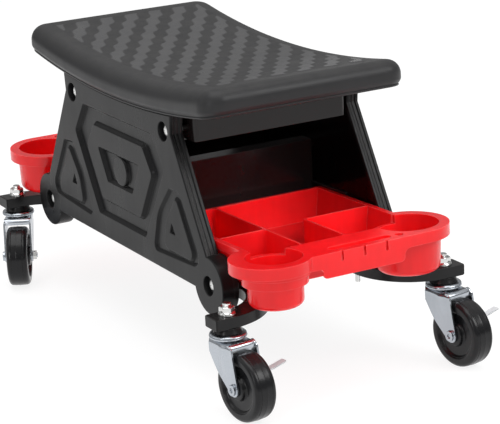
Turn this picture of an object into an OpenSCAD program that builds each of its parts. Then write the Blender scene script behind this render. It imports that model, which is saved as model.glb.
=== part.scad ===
// Rolling creeper seat: a saddle seat on two moulded side panels, with a sliding
// tool tray at each end and four swivel casters on two bent base rails.
// Millimetres. +X is the length, +Y the width, +Z up, and the floor is Z = 0.

/* [Seat] */
// Length of the seat along X
seat_len = 476; // [450:2:500]
// Width of the seat along Y
seat_w = 254; // [248:2:270]
// Depth of the seat's edge
seat_t = 31; // [28:1:36]
// Height of the seat's underside at mid length
seat_under_z = 288.8; // [286:0.2:300]
// Rise of the seat's underside from the middle to each end
seat_rise = 21; // [14:1:26]
// Radius of the top edge
seat_edge_r = 18; // [10:1:20]
// Radius of the seat's corners seen from above
seat_corner_r = 24; // [20:1:32]
// Height of the seat's widest line above its underside
seat_belly_h = 9; // [7:0.5:11]
// How far the underside's edge lies inside the widest line
seat_tuck = 3.5; // [2:0.25:5]
// Wall of the moulded seat
seat_wall = 4; // [3:0.5:5]
// Spacing of the stiffening ribs under the seat
seat_rib_pitch = 56; // [50:2:64]
// Thickness of a rib under the seat
seat_rib_t = 2.4; // [1.6:0.2:3.2]

/* [Box under the seat] */
// Length of the box along X
box_len = 300; // [296:2:306]
// Gap between the box and each side panel
box_side_gap = 8; // [7:0.5:10.5]
// Height of the box's underside
box_under_z = 263; // [261:0.5:264.5]
// Wall of the box
box_wall = 3; // [2:0.5:4]
// Distance of the end rows of seat screws from the middle
seat_screw_x = 106; // [90:2:112]
// Distance of the seat screws from the centre line
seat_screw_y = 62; // [40:2:74]
// Radius of the screw bosses under the seat
seat_boss_r = 7; // [6:0.5:9]

/* [Side panels] */
// How far the seat's edge stands out past each panel's outer face
seat_overhang = 5.5; // [3:0.5:8]
// Depth of a panel from its outer to its inner face
panel_t = 16; // [14:1:18]
// Thickness of the panel's outer skin
panel_skin = 3; // [2.5:0.5:4]
// Thickness of the panel's edge wall
panel_wall = 3.5; // [2.5:0.5:4.5]
// Height of the panel's bottom edge
panel_foot_z = 109.5; // [107:0.5:112]
// Half length of the panel where its sloping edge would meet the floor
panel_slope_x = 295.75; // [292:0.25:300]
// Inward run of the sloping edge for each unit of height
panel_slope = 0.577; // [0.56:0.005:0.59]
// Height where the sloping edge turns upright
panel_turn_z = 273; // [270:1:282]
// Outward run of the upright edge up to the seat
panel_flare = 3.5; // [0:0.5:5]
// Thickness of the flat liner inside a panel
liner_t = 2.5; // [2:0.25:3.5]
// Depth of the groove along the middle of the panel's edge
edge_groove_d = 1.2; // [0.5:0.1:1.8]
// Width of the groove along the panel's edge
edge_groove_w = 4; // [2:0.5:5]
// Gap between a panel's top edge and the seat
panel_seat_gap = 0.6; // [0.3:0.1:2]
// Radius of the round feet of the panels
lobe_r = 33; // [31:0.5:35]
// Thickness of the round feet
lobe_t = 20.5; // [18:0.5:21]
// Distance of the feet's centres inside the base shelf's ends
lobe_inset = 6.7; // [4:0.1:9]
// Height of the feet's centres
lobe_z = 118.7; // [118:0.1:120]
// Distance of the upper bolts from the middle along X
top_bolt_x = 119.8; // [114:0.2:124]
// Height of the upper bolts
top_bolt_z = 273.7; // [273:0.1:275]
// Depth of the moulded relief on the outer face
relief_d = 3.5; // [1.5:0.5:4.5]
// Radius of the corners of the relief
relief_corner_r = 6; // [3:0.5:8]
// Radius of the disc in the middle of the relief
relief_disc_r = 18; // [10:1:19]

/* [Base] */
// Half length of the base shelf
shelf_half_len = 217; // [215:1:222]
// Thickness of the base shelf
shelf_t = 3; // [2:0.5:3.5]
// Height of the shelf's side walls above its underside
shelf_side_h = 21; // [18:1:24]
// Width of a base rail
rail_w = 25; // [22:1:26]
// Height of a base rail
rail_h = 12.5; // [11:0.5:14]
// Wall of a base rail
rail_wall = 2; // [1.5:0.25:2.5]
// Height of the rails' top faces
rail_top_z = 110; // [109.5:0.1:110.5]
// Distance of the rails' long runs inside the panels' outer faces
rail_inset = 48.5; // [45.5:1:51.5]
// Radius of the bend along the middle of a rail
rail_bend_r = 66; // [60:1:68]
// Straight length past the caster's stem
rail_end_over = 18.5; // [15:0.5:24]
// Distance of the shelf's bolts inside its ends
rail_bolt_inset = 13; // [12:1:21]

/* [Bulkheads] */
// Distance of the bulkheads' faces from the middle along X
bulkhead_x = 57; // [52:1:62]
// Height of the bulkheads' top edges
bulkhead_top_z = 214; // [205:1:225]
// Thickness of a bulkhead
bulkhead_t = 3; // [2:0.5:4]
// Depth of the flanges round a bulkhead
bulkhead_flange = 18; // [14:1:22]

/* [Trays] */
// Distance of a tray's back edge from the middle along X
tray_back_x = 75; // [70:1:78]
// Height of a tray's rim at its back edge
tray_back_z = 160.3; // [158:0.1:163]
// Rise of a tray towards its front, in degrees
tray_tilt = 2; // [1.5:0.1:3]
// Gap between each side of a tray and the panel
tray_side_gap = 1.5; // [1.25:0.25:3.5]
// Width of the rim along each side of the compartments
tray_side_rim = 4; // [3.5:0.5:8]
// Depth of the compartments outside
tray_depth = 40; // [34:1:40]
// Taper of each long side of the compartments over their depth
tray_draft = 4; // [3.5:0.25:5]
// Wall of a tray
tray_wall = 2.4; // [1.6:0.2:3]
// Thickness of a tray's rim
tray_rim_t = 2.4; // [1.6:0.2:3]
// Height of the side rims' outer skirt
tray_skirt_h = 9; // [7:0.5:11]
// Height of the cups' outer skirt
cup_skirt_h = 13; // [11:0.5:16]
// Length from the tray's back edge to the front of its compartments
tray_well_len = 203; // [199:1:204]
// Length from the tray's back edge to its front plate
tray_len = 251; // [248:1:256]
// Height of the front plate
tray_plate_h = 27; // [22:1:30]
// Radius of the wide cup's rim
wide_cup_rim_r = 47; // [45:0.5:48]
// Outer radius of the wide cup at its rim
wide_cup_r = 38; // [36:0.5:39]
// Distance of the wide cup from the tray's back edge
wide_cup_x = 204; // [203:0.5:207]
// Distance of the wide cup's centre inside the tray's side edge
wide_cup_inset = 12; // [11:0.5:15]
// Radius of the stepped cup's rim
step_cup_rim_r = 45; // [43:0.5:47]
// Outer radius of the stepped cup's upper part
step_cup_r = 36; // [34:0.5:38]
// Outer radius of the stepped cup's lower part
step_cup_low_r = 31; // [28:0.5:32]
// Distance of the stepped cup from the tray's back edge
step_cup_x = 221; // [218:1:224]
// Distance of the stepped cup's rim centre inside the tray's side edge
step_cup_inset = 13; // [11:0.5:16]
// Offset of the stepped cup inside its rim, towards the centre line
step_cup_shift = 4.5; // [0:0.5:6]
// Depth of the cups outside
cup_depth = 53; // [44:1:54]
// Taper of the cups' sides, on the radius
cup_draft = 2.8; // [1:0.2:4]
// Radius of the cups' bottom edges
cup_round = 7; // [4:0.5:9]
// Drop of the wide cup's lip beside the compartments
wide_lip_drop = 10; // [4:0.5:12]
// Drop of the stepped cup's lip beside the compartments
step_lip_drop = 7.5; // [4:0.5:12]
// Radius of the round tool hole
tool_hole_r = 5; // [3:0.5:6]

/* [Casters] */
// Distance of the casters' stems from the middle along X
caster_x = 281; // [279:0.5:284]
// Distance of the casters' stems outside the panels' outer faces
caster_out = 16; // [14.5:0.5:17.5]
// Radius of a wheel
wheel_r = 38; // [36:0.5:38.5]
// Width of a wheel's tread
wheel_w = 26.4; // [24:0.4:27.2]
// Trail of a wheel behind its stem
caster_trail = 30.2; // [28:0.2:32]
// Half width over the fork's legs
fork_half_w = 17.6; // [17.2:0.1:19]
// Thickness of the fork's steel
fork_t = 2.2; // [1.8:0.2:2.6]
// Height of the fork's crown
crown_z = 85; // [84.5:0.25:86]
// Radius of the crown and of the race above it
crown_r = 20.5; // [19:0.5:22]
// Radius of a stem
stem_r = 5; // [4:0.5:6]
// Radius of an axle
axle_r = 3; // [2.5:0.25:3.5]
// Radius of the balls of the swivel race
ball_r = 2; // [1.75:0.25:2.25]
// Heading of the near front wheel, in degrees from +X
near_front_heading = 6.4; // [-20:0.1:20]
// Heading of the far front wheel, in degrees from +X
far_front_heading = 7.4; // [-20:0.1:20]
// Heading of the near rear wheel, in degrees from +X
near_rear_heading = -28.2; // [-40:0.1:-10]
// Heading of the far rear wheel, in degrees from +X
far_rear_heading = 152; // [140:0.1:170]

/* [Fasteners] */
// Radius of the bolts through the side panels
panel_bolt_r = 3; // [2.5:0.25:3.5]
// Radius of the heads of the panel bolts
panel_head_r = 5.75; // [5:0.25:6.5]
// Radius of the counterbores round the panel bolts
counterbore_r = 11; // [9:0.5:12]
// Depth of the counterbores
counterbore_d = 8; // [5:0.5:10]
// Radius of the bolts through the base rails
rail_bolt_r = 3; // [2.5:0.25:4]
// Radius of the small screws
screw_r = 2; // [1.5:0.25:2.25]

/* [Hidden] */

// Overrun of a cut past the face it opens
over = 1;
// Running clearance of a pin in its bore, on the radius
run_fit = 0.05;
// Clearance of a bolt in its hole, on the radius
bolt_fit = 0.2;
// Gap between faces that slide or nearly touch
slide_gap = 0.3;
// Facets of round parts
$fn = 72;
// Facets of the large saddle arcs, a full turn
saddle_fn = 360;
// Segments of a rounded corner in an outline
corner_steps = 5;

// Saddle arc: the underside is part of a cylinder about an axis along Y
saddle_r = (pow(seat_len / 2, 2) + pow(seat_rise, 2)) / (2 * seat_rise);
saddle_z = seat_under_z + saddle_r;
saddle_top_r = saddle_r - seat_t;
seat_end_top_z = saddle_z - sqrt(pow(saddle_top_r, 2) - pow(seat_len / 2, 2));
saddle_half_angle = asin(seat_len / 2 / saddle_top_r) + 1;
seat_low_z = seat_under_z - seat_t;
seat_bottom_r = 2.5;
seat_screw_len = 17;

// Widths, from the seat's edge inwards and out to the casters
panel_y = seat_w / 2 - seat_overhang;
panel_in = panel_y - panel_t;
lobe_in = panel_y - lobe_t;
box_w = 2 * (panel_in - box_side_gap);
rail_y = panel_y - rail_inset;
caster_y = panel_y + caster_out;
tray_w = 2 * (panel_in - tray_side_gap);
tray_body_w = tray_w - 2 * tray_side_rim;
wide_cup_y = tray_w / 2 - wide_cup_inset;
step_cup_y = tray_w / 2 - step_cup_inset;

// Side panels
panel_turn_x = panel_slope_x - panel_slope * panel_turn_z;
panel_top_x = panel_turn_x + panel_flare;
panel_high_z = seat_under_z + seat_rise;
lobe_x = shelf_half_len - lobe_inset;
rail_bolt_x = shelf_half_len - rail_bolt_inset;
slope_stretch = sqrt(1 + panel_slope * panel_slope);
boss_wall = 3;
panel_rib_t = 2.4;
panel_rib_pitch = 60;
panel_rib_pairs = 2;

// Shelf, between the round feet
shelf_half_w = lobe_in - slide_gap;
shelf_z = rail_top_z;
shelf_top_z = shelf_z + shelf_t;

// Rails
rail_low_z = rail_top_z - rail_h;
rail_bend_x = caster_x - rail_bend_r;
rail_bend_y = rail_y + rail_bend_r;
cap_t = 1.6;
cap_plug_len = 9;

// Trays, in a frame of their own with the rim's top at zero
tray_ledge_t = 2.5;
tray_ledge_w = panel_in - tray_body_w / 2 - 2 * slide_gap;
cup_land = 6;
lip_t = 2;
step_draft = 1;
step_well_y = step_cup_y - step_cup_shift;
divider_t = 2;
well_corner_r = 4;
long_divider_share = -0.2;
far_divider_share = 0.0725;
near_divider_share = 0.5985;
far_back_share = 0.5616;
long_divider_y = long_divider_share * tray_body_w;
far_divider_y = far_divider_share * tray_body_w;
near_divider_x = near_divider_share * tray_well_len;
far_divider_x = far_back_share * tray_well_len;

// The tool hole lies in the corner between the wide cup and the front plate
tool_hole_inset = 13;
tool_hole_land = 4;
tool_hole_x = tray_len - tool_hole_inset;
tool_hole_reach = wide_cup_r + tool_hole_r + tool_hole_land;
tool_hole_run = max(0, pow(tool_hole_reach, 2) - pow(tool_hole_x - wide_cup_x, 2));
tool_hole_y = wide_cup_y - max(2 * tool_hole_r, sqrt(tool_hole_run));
channel_w = 11;
channel_d = 5;
channel_inset = 15;
channel_start_share = -0.135;
channel_x = tray_len - channel_inset;
channel_y0 = channel_start_share * tray_w;
channel_y1 = tool_hole_y - tool_hole_r - 2 * tray_wall;

// Front plate and its slots
slot_w = 3.2;
slot_h = 11;
slot_pitch = 28;
slot_count = 3;
slot_first_share = -0.096;
plate_shares = [-0.308, 0.279];
plate_notch_share = -0.212;
plate_notch_h = 16;
slot_first_y = slot_first_share * tray_w;
plate_y0 = plate_shares[0] * tray_w;
plate_y1 = plate_shares[1] * tray_w;
plate_notch_y = plate_notch_share * tray_w;
plate_notch_round = 0.4 * (tray_plate_h - plate_notch_h);
plate_round = 0.36 * (tray_plate_h - cup_skirt_h);
plate_fillet = 0.57 * (tray_plate_h - cup_skirt_h);
function plate_corner(i, r) =
    let (pts = [[plate_y0, -plate_notch_h], [plate_notch_y, -plate_notch_h],
                [plate_notch_y, -tray_plate_h], [plate_y1, -tray_plate_h],
                [plate_y1, -cup_skirt_h], [wide_cup_y, -cup_skirt_h]])
    corner_arc(pts[i - 1], pts[i], pts[i + 1], r);
function plate_outline() = concat(
    [[wide_cup_y, 0], [plate_y0, 0], [plate_y0, -plate_notch_h]],
    plate_corner(1, plate_notch_round),
    plate_corner(2, plate_notch_round),
    plate_corner(3, plate_round),
    plate_corner(4, plate_fillet),
    [[wide_cup_y, -cup_skirt_h]]
);

// Steps of the stepped cup
step_z = -28;
collar_z = -18;
collar_out = 3;

// Casters
race_gap = 1.2;
race_h = 5.2;
race_neck_r = 12;
ball_ring_r = 14;
ball_count = 14;
ball_gap = 0.15;
crown_low_z = crown_z - fork_t;
stem_head_h = 5;
stem_head_r = 9;
stem_nut_af = 15;
stem_nut_h = 8;
stem_washer_r = 9.4;
stem_washer_t = 1.8;
stem_tip = 3.5;
fork_front_x = 28;
fork_skirt_h = 7;
wheel_clear = 3;
wheel_side_clear = 1;
fork_leg_in = fork_half_w - fork_t;
eye_r = 8;
hub_r = 13;
hub_half_w = fork_leg_in - 2 * slide_gap;
axle_head_r = 6;
axle_head_h = 3;
axle_nut_af = 10;
axle_nut_h = 5;
axle_tip = 1;
sleeve_wall = 1.5;
sleeve_r = axle_r + sleeve_wall;
lever_t = 2;
lever_gap = 0.2;
lever_eye_r = 7.5;
lever_reach = 16.5;
lever_angle = 60;
lever_tab_w = 9;
lever_tab_t = 1.6;
lever_tab_len = 26;
lever_tab_rise = 13;

caster_signs = [[1, -1], [1, 1], [-1, -1], [-1, 1]];
caster_headings = [near_front_heading, far_front_heading, near_rear_heading, far_rear_heading];

// Colours
seat_black = [0.13, 0.13, 0.14];
panel_black = [0.15, 0.15, 0.16];
gloss_black = [0.06, 0.06, 0.065];
steel_black = [0.08, 0.08, 0.09];
tray_red = [0.84, 0.09, 0.11];
zinc = [0.76, 0.78, 0.80];
wheel_black = [0.10, 0.10, 0.105];

// Corner b of an outline, rounded with radius r
function unit(v) = v / norm(v);
function corner_arc(a, b, c, r) =
    let (u = unit(a - b))
    let (w = unit(c - b))
    let (half = acos(max(-1, min(1, u * w))) / 2)
    let (m = b + unit(u + w) * r / sin(half))
    let (p = b + u * r / tan(half) - m)
    let (q = b + w * r / tan(half) - m)
    let (a0 = atan2(p[1], p[0]))
    let (turn = (atan2(q[1], q[0]) - a0 + 540) % 360 - 180)
    [for (i = [0 : corner_steps])
        let (t = a0 + turn * i / corner_steps)
        m + r * [cos(t), sin(t)]];

// Outline with each corner rounded; r is one radius or a list
function rounded(pts, r) =
    let (n = len(pts))
    [for (i = [0 : n - 1])
        each corner_arc(pts[(i + n - 1) % n], pts[i], pts[(i + 1) % n], is_list(r) ? r[i] : r)];

function mirrored(pts) = [for (i = [len(pts) - 1 : -1 : 0]) [-pts[i][0], pts[i][1]]];
function rect(x0, y0, x1, y1) = [[x0, y0], [x1, y0], [x1, y1], [x0, y1]];

// Extrude an outline drawn in X and Z from y0 to y1
module in_xz(y0, y1) {
    translate([0, y1, 0])
        rotate([90, 0, 0])
            linear_extrude(height = y1 - y0)
                children();
}

module block(x0, y0, z0, x1, y1, z1) {
    translate([x0, y0, z0])
        cube([x1 - x0, y1 - y0, z1 - z0]);
}

// Cylinder along Y from y0 to y1
module rod_y(x, z, r, y0, y1) {
    translate([x, y1, z])
        rotate([90, 0, 0])
            cylinder(r = r, h = y1 - y0);
}

module rod_z(x, y, r, z0, z1) {
    translate([x, y, z0])
        cylinder(r = r, h = z1 - z0);
}

// Hexagon prism along Z
module hex_z(af, h) {
    cylinder(r = af / sqrt(3), h = h, $fn = 6);
}

// Everything nearer the saddle's axis than r, between y0 and y1
module saddle_void(r, y0, y1) {
    translate([0, y1, saddle_z])
        rotate([90, 0, 0])
            cylinder(r = r, h = y1 - y0, $fn = saddle_fn);
}

// Seat
function seat_section(inset, top_r) =
    let (hw = seat_w / 2 - inset)
    let (r2 = saddle_r)
    let (r1 = saddle_r - seat_belly_h)
    let (r0 = saddle_top_r + inset)
    rounded([[r0, -hw], [r1, -hw], [r2, seat_tuck - hw], [r2, hw - seat_tuck], [r1, hw], [r0, hw]],
            [top_r, seat_belly_h / 2, seat_bottom_r, seat_bottom_r, seat_belly_h / 2, top_r]);
function seat_end_profile(inset, top_r) =
    let (hl = seat_len / 2 - inset)
    let (belly_z = seat_under_z + seat_rise + seat_belly_h)
    let (top_z = seat_end_top_z - inset)
    rounded([[seat_tuck - hl, seat_low_z], [hl - seat_tuck, seat_low_z],
             [hl - seat_tuck, belly_z - seat_belly_h], [hl, belly_z], [hl, top_z],
             [-hl, top_z], [-hl, belly_z], [seat_tuck - hl, belly_z - seat_belly_h]],
            [seat_bottom_r, seat_bottom_r, seat_bottom_r, seat_belly_h / 3, top_r,
             top_r, seat_belly_h / 3, seat_bottom_r]);

module saddle_band(points) {
    translate([0, 0, saddle_z])
        rotate([90, 0, 0])
            rotate([0, 0, -90 - saddle_half_angle])
                rotate_extrude(angle = 2 * saddle_half_angle, $fn = saddle_fn)
                    polygon(points);
}

module seat_blank(inset, top_r) {
    hl = seat_len / 2 - inset;
    hw = seat_w / 2 - inset;
    intersection() {
        saddle_band(seat_section(inset, top_r));
        in_xz(-seat_w, seat_w)
            polygon(seat_end_profile(inset, top_r));
        // Cuts the four corners only, so its straight sides stand clear of the seat's
        translate([0, 0, seat_low_z])
            linear_extrude(height = 3 * seat_t)
                polygon(rounded(rect(-hl - over, -hw - over, hl + over, hw + over),
                                max(seat_bottom_r, seat_corner_r - inset)
                                + over * sqrt(2) / (sqrt(2) - 1)));
    }
}

function seat_screw_places() =
    [for (x = [-seat_screw_x, 0, seat_screw_x]) for (y = [-seat_screw_y, seat_screw_y]) [x, y]];

// Ribs run both ways under the top, from the middle outwards
function rib_places(half) =
    let (n = floor(half / seat_rib_pitch))
    [for (i = [-n : n]) i * seat_rib_pitch];

module seat_ribs() {
    intersection() {
        union() {
            for (x = rib_places(seat_len / 2 - seat_rib_pitch / 2))
                block(x - seat_rib_t / 2, -seat_w / 2 + seat_wall / 2, seat_low_z,
                      x + seat_rib_t / 2, seat_w / 2 - seat_wall / 2, seat_end_top_z);
            for (y = rib_places(seat_w / 2 - seat_rib_pitch / 2))
                block(-seat_len / 2 + seat_wall / 2, y - seat_rib_t / 2, seat_low_z,
                      seat_len / 2 - seat_wall / 2, y + seat_rib_t / 2, seat_end_top_z);
        }
        seat_blank(seat_wall / 2, seat_edge_r - seat_wall / 2);
    }
}

module seat() {
    color(seat_black)
        difference() {
            union() {
                difference() {
                    seat_blank(0, seat_edge_r);
                    seat_blank(seat_wall, seat_edge_r - seat_wall);
                }
                seat_ribs();
                for (p = seat_screw_places())
                    rod_z(p[0], p[1], seat_boss_r,
                          box_under_z + box_wall, seat_under_z + seat_t - seat_wall / 2);
            }
            for (p = seat_screw_places())
                rod_z(p[0], p[1], screw_r, box_under_z, seat_under_z + seat_t / 3);
        }
}

// Box under the seat
module seat_box() {
    hl = box_len / 2;
    hw = box_w / 2;
    color(gloss_black)
        difference() {
            translate([0, 0, box_under_z])
                linear_extrude(height = 2 * seat_t)
                    polygon(rounded(rect(-hl, -hw, hl, hw), 2 * box_wall));
            translate([0, 0, box_under_z + box_wall])
                linear_extrude(height = 2 * seat_t)
                    polygon(rounded(rect(box_wall - hl, box_wall - hw, hl - box_wall, hw - box_wall),
                                    box_wall));
            saddle_void(saddle_r + slide_gap, -seat_w, seat_w);
            for (p = seat_screw_places())
                rod_z(p[0], p[1], screw_r + bolt_fit, box_under_z - over, box_under_z + box_wall + over);
            for (x = [-top_bolt_x, top_bolt_x])
                rod_y(x, top_bolt_z, panel_bolt_r + bolt_fit, -seat_w, seat_w);
        }
}

// Pan head screw along +Z with its head under z = 0
module pan_screw(r, len) {
    translate([0, 0, -r])
        cylinder(r1 = 1.6 * r, r2 = 2 * r, h = r);
    cylinder(r = r, h = len);
}

module seat_screws() {
    color(zinc)
        for (p = seat_screw_places())
            translate([p[0], p[1], box_under_z])
                pan_screw(screw_r, seat_screw_len);
}

// Side panel outline: i moves each edge inwards
function edge_x(z, i) = panel_slope_x - panel_slope * z - i * slope_stretch;
function panel_right(i) = [
    [edge_x(panel_foot_z + i, i), panel_foot_z + i],
    [edge_x(panel_turn_z, i), panel_turn_z],
    [panel_top_x - i, panel_high_z]
];
function panel_outline(i) = concat(panel_right(i), mirrored(panel_right(i)));

// The part of the panel within i of its edge, over the depth y0 to y1
module panel_body(i, y0, y1) {
    difference() {
        union() {
            in_xz(y0, y1)
                polygon(panel_outline(i));
            for (x = [-lobe_x, lobe_x])
                rod_y(x, lobe_z, lobe_r - i, y0, y1);
        }
        saddle_void(saddle_r + panel_seat_gap + i, y0 - over, y1 + over);
    }
}

// Relief outlines. Each point is a share of the panel's half length at its
// height, and a share of the height from the foot to the turn
hexagon_shares = [[0.285, 0.162], [0.719, 0.725], [0.632, 0.957]];
boss_shares = [[0.244, 0.297], [0.497, 0.651], [0.413, 0.823]];
middle_shares = [[0.172, 0.437], [0.333, 0.682]];
triangle_shares = [[0.922, 0.144], [0.876, 0.615], [0.738, 0.627], [0.489, 0.407], [0.354, 0.101]];
triangle_boss_shares = [[0.833, 0.174], [0.79, 0.56], [0.578, 0.358], [0.505, 0.174]];
triangle_mark_shares = [[0.673, 0.29], [0.656, 0.382], [0.595, 0.29]];
triangle_round_shares = [2.3, 1.3, 1.3, 10, 1.3];
triangle_boss_round_shares = [1.2, 0.6, 6, 1];
disc_height_share = 0.56;
panel_height = panel_turn_z - panel_foot_z;
function relief_points(shares) = [
    for (p = shares)
        let (z = panel_foot_z + p[1] * panel_height)
        [p[0] * edge_x(z, 0), z]
];
function both_sides(pts) = concat(pts, mirrored(pts));
function relief_hexagon(shares, r) = rounded(both_sides(relief_points(shares)), r);

// Recess over the outer face with a raised middle
module relief_ring(outer, inner, depth) {
    difference() {
        in_xz(panel_y - depth, panel_y + over)
            polygon(outer);
        in_xz(panel_y - depth - over, panel_y + 2 * over)
            polygon(inner);
    }
}

module relief_cut(depth) {
    disc_z = panel_foot_z + disc_height_share * panel_height;
    relief_ring(relief_hexagon(hexagon_shares, relief_corner_r),
                relief_hexagon(boss_shares, relief_corner_r), depth);
    difference() {
        in_xz(panel_y - depth, panel_y + over)
            polygon(relief_hexagon(middle_shares, relief_corner_r / 2));
        rod_y(0, disc_z, relief_disc_r, panel_y - depth - over, panel_y + 2 * over);
    }
    for (side = [0, 1])
        mirror([side, 0, 0]) {
            relief_ring(rounded(relief_points(triangle_shares), triangle_round_shares * relief_corner_r),
                        rounded(relief_points(triangle_boss_shares),
                                triangle_boss_round_shares * relief_corner_r),
                        depth);
            in_xz(panel_y - depth, panel_y + over)
                polygon(rounded(relief_points(triangle_mark_shares), relief_corner_r / 4));
        }
}

function tray_rim_z(x) = tray_back_z + (x - tray_back_x) * tan(tray_tilt);
function strip(x0, x1, drop, t) = [
    [x0, tray_rim_z(x0) - drop - t],
    [x1, tray_rim_z(x1) - drop - t],
    [x1, tray_rim_z(x1) - drop],
    [x0, tray_rim_z(x0) - drop]
];
ledge_drop = tray_skirt_h / cos(tray_tilt) + slide_gap;
ledge_x1 = edge_x(tray_rim_z(lobe_x), 2 * panel_wall);
keeper_x1 = tray_back_x + (ledge_x1 - tray_back_x) / 2;
bulkhead_screw_x = bulkhead_x - bulkhead_t - bulkhead_flange / 2;
bulkhead_screw_zs = [shelf_top_z + 1.5 * bulkhead_flange, bulkhead_top_z - 1.5 * bulkhead_flange];

// Far panel; the near one is its mirror image
module side_panel() {
    skin_y = panel_y - panel_skin;
    groove_y = (panel_in + panel_y) / 2;
    difference() {
        union() {
            // Skin and edge wall, with a groove along the middle of the edge
            difference() {
                union() {
                    panel_body(0, groove_y + edge_groove_w / 2, panel_y);
                    panel_body(edge_groove_d, groove_y - edge_groove_w / 2, groove_y + edge_groove_w / 2);
                    panel_body(edge_groove_d / 3, panel_in, groove_y - edge_groove_w / 2);
                    for (x = [-lobe_x, lobe_x])
                        rod_y(x, lobe_z, lobe_r - edge_groove_d / 3, lobe_in, panel_in + over);
                }
                panel_body(panel_wall, lobe_in - over, skin_y);
            }
            // Backing of the relief
            intersection() {
                panel_body(panel_wall / 2, skin_y - relief_d, panel_y);
                block(-panel_slope_x, skin_y - relief_d, panel_foot_z,
                      panel_slope_x, panel_y, panel_turn_z);
            }
            // Bolt bosses
            for (x = [-lobe_x, lobe_x])
                rod_y(x, lobe_z, counterbore_r + boss_wall, lobe_in, panel_y);
            for (x = [-top_bolt_x, top_bolt_x]) {
                intersection() {
                    rod_y(x, top_bolt_z, counterbore_r + boss_wall, panel_in + liner_t, panel_y);
                    panel_body(0, panel_in, panel_y);
                }
                rod_y(x, top_bolt_z, panel_bolt_r + boss_wall, box_w / 2 + slide_gap, panel_y);
            }
            // Stiffening ribs
            intersection() {
                panel_body(panel_wall / 2, panel_in + liner_t, panel_y);
                union() {
                    for (i = [-panel_rib_pairs : panel_rib_pairs])
                        block(i * panel_rib_pitch - panel_rib_t / 2, panel_in, panel_foot_z,
                              i * panel_rib_pitch + panel_rib_t / 2, skin_y + over, panel_high_z);
                    block(-panel_slope_x, panel_in, panel_foot_z + panel_height / 2,
                          panel_slope_x, skin_y + over, panel_foot_z + panel_height / 2 + panel_rib_t);
                }
            }
            // Bosses for the bulkhead screws
            for (x = [-bulkhead_screw_x, bulkhead_screw_x])
                for (z = bulkhead_screw_zs)
                    rod_y(x, z, screw_r + boss_wall, panel_in + liner_t, skin_y + over / 2);
        }
        relief_cut(relief_d);
        for (x = [-lobe_x, lobe_x]) {
            rod_y(x, lobe_z, counterbore_r, panel_y - counterbore_d, panel_y + over);
            rod_y(x, lobe_z, panel_bolt_r + bolt_fit, lobe_in - over, panel_y);
        }
        for (x = [-top_bolt_x, top_bolt_x]) {
            rod_y(x, top_bolt_z, counterbore_r, panel_y - counterbore_d, panel_y + over);
            rod_y(x, top_bolt_z, panel_bolt_r + bolt_fit, box_w / 2 - over, panel_y);
        }
        for (x = [-bulkhead_screw_x, bulkhead_screw_x])
            for (z = bulkhead_screw_zs)
                rod_y(x, z, screw_r, panel_in - over, panel_in + liner_t + 3 * boss_wall);
    }
}

// Flat liner of the far panel, with the ledges that carry the trays
module panel_liner() {
    difference() {
        union() {
            difference() {
                in_xz(panel_in, panel_in + liner_t)
                    polygon(panel_outline(panel_wall + slide_gap));
                saddle_void(saddle_r + panel_seat_gap + panel_wall + slide_gap, panel_in - over, panel_y);
                for (x = [-lobe_x, lobe_x])
                    rod_y(x, lobe_z, lobe_r + slide_gap, panel_in - over, panel_y);
            }
            for (side = [0, 1])
                mirror([side, 0, 0]) {
                    in_xz(panel_in - tray_ledge_w, panel_in + liner_t)
                        polygon(strip(bulkhead_x + over, ledge_x1, ledge_drop, tray_ledge_t));
                    in_xz(panel_in - tray_ledge_w / 2, panel_in + liner_t)
                        polygon(strip(bulkhead_x + over, keeper_x1,
                                      -2 * slide_gap - tray_ledge_t, tray_ledge_t));
                }
        }
        for (x = [-top_bolt_x, top_bolt_x])
            rod_y(x, top_bolt_z, panel_bolt_r + boss_wall + slide_gap, panel_in - over, panel_y);
        for (x = [-bulkhead_screw_x, bulkhead_screw_x])
            for (z = bulkhead_screw_zs)
                rod_y(x, z, screw_r + bolt_fit, panel_in - over, panel_y);
    }
}

module near_panel_liner() {
    color(gloss_black)
        mirror([0, 1, 0])
            panel_liner();
}

module far_panel_liner() {
    color(gloss_black)
        panel_liner();
}

module near_side_panel() {
    color(panel_black)
        mirror([0, 1, 0])
            side_panel();
}

module far_side_panel() {
    color(panel_black)
        side_panel();
}

// Bolt along -Y from y = 0, with a round head of height r on the +Y side
module panel_bolt(r, head_r, len) {
    rotate([90, 0, 0])
        cylinder(r = r, h = len);
    difference() {
        rotate([-90, 0, 0])
            cylinder(r1 = head_r, r2 = 0.8 * head_r, h = r);
        for (turn = [0, 90])
            rotate([0, turn, 0])
                block(-0.6 * head_r, r / 2, -0.12 * head_r, 0.6 * head_r, r + over, 0.12 * head_r);
    }
}

// Hexagon nut along -Y from y = 0, bored for a bolt of radius r
module panel_nut(r) {
    rotate([90, 0, 0])
        difference() {
            hex_z(3.3 * r, 1.6 * r);
            translate([0, 0, -over])
                cylinder(r = r, h = 2 * r + 2 * over);
        }
}

module on_both_sides(x, z, y) {
    for (side = [0, 1])
        mirror([0, side, 0])
            for (sx = [-x, x])
                translate([sx, y, z])
                    children();
}

bolt_seat_y = panel_y - counterbore_d;
upper_nut_y = box_w / 2 - box_wall;
lower_nut_y = shelf_half_w - shelf_t;
nut_h = 1.6 * panel_bolt_r;

module upper_panel_bolts() {
    color(zinc)
        on_both_sides(top_bolt_x, top_bolt_z, bolt_seat_y)
            panel_bolt(panel_bolt_r, panel_head_r, bolt_seat_y - upper_nut_y + nut_h + panel_bolt_r);
}

module upper_panel_nuts() {
    color(zinc)
        on_both_sides(top_bolt_x, top_bolt_z, upper_nut_y)
            panel_nut(panel_bolt_r);
}

module lower_panel_bolts() {
    color(zinc)
        on_both_sides(lobe_x, lobe_z, bolt_seat_y)
            panel_bolt(panel_bolt_r, panel_head_r, bolt_seat_y - lower_nut_y + nut_h);
}

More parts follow.
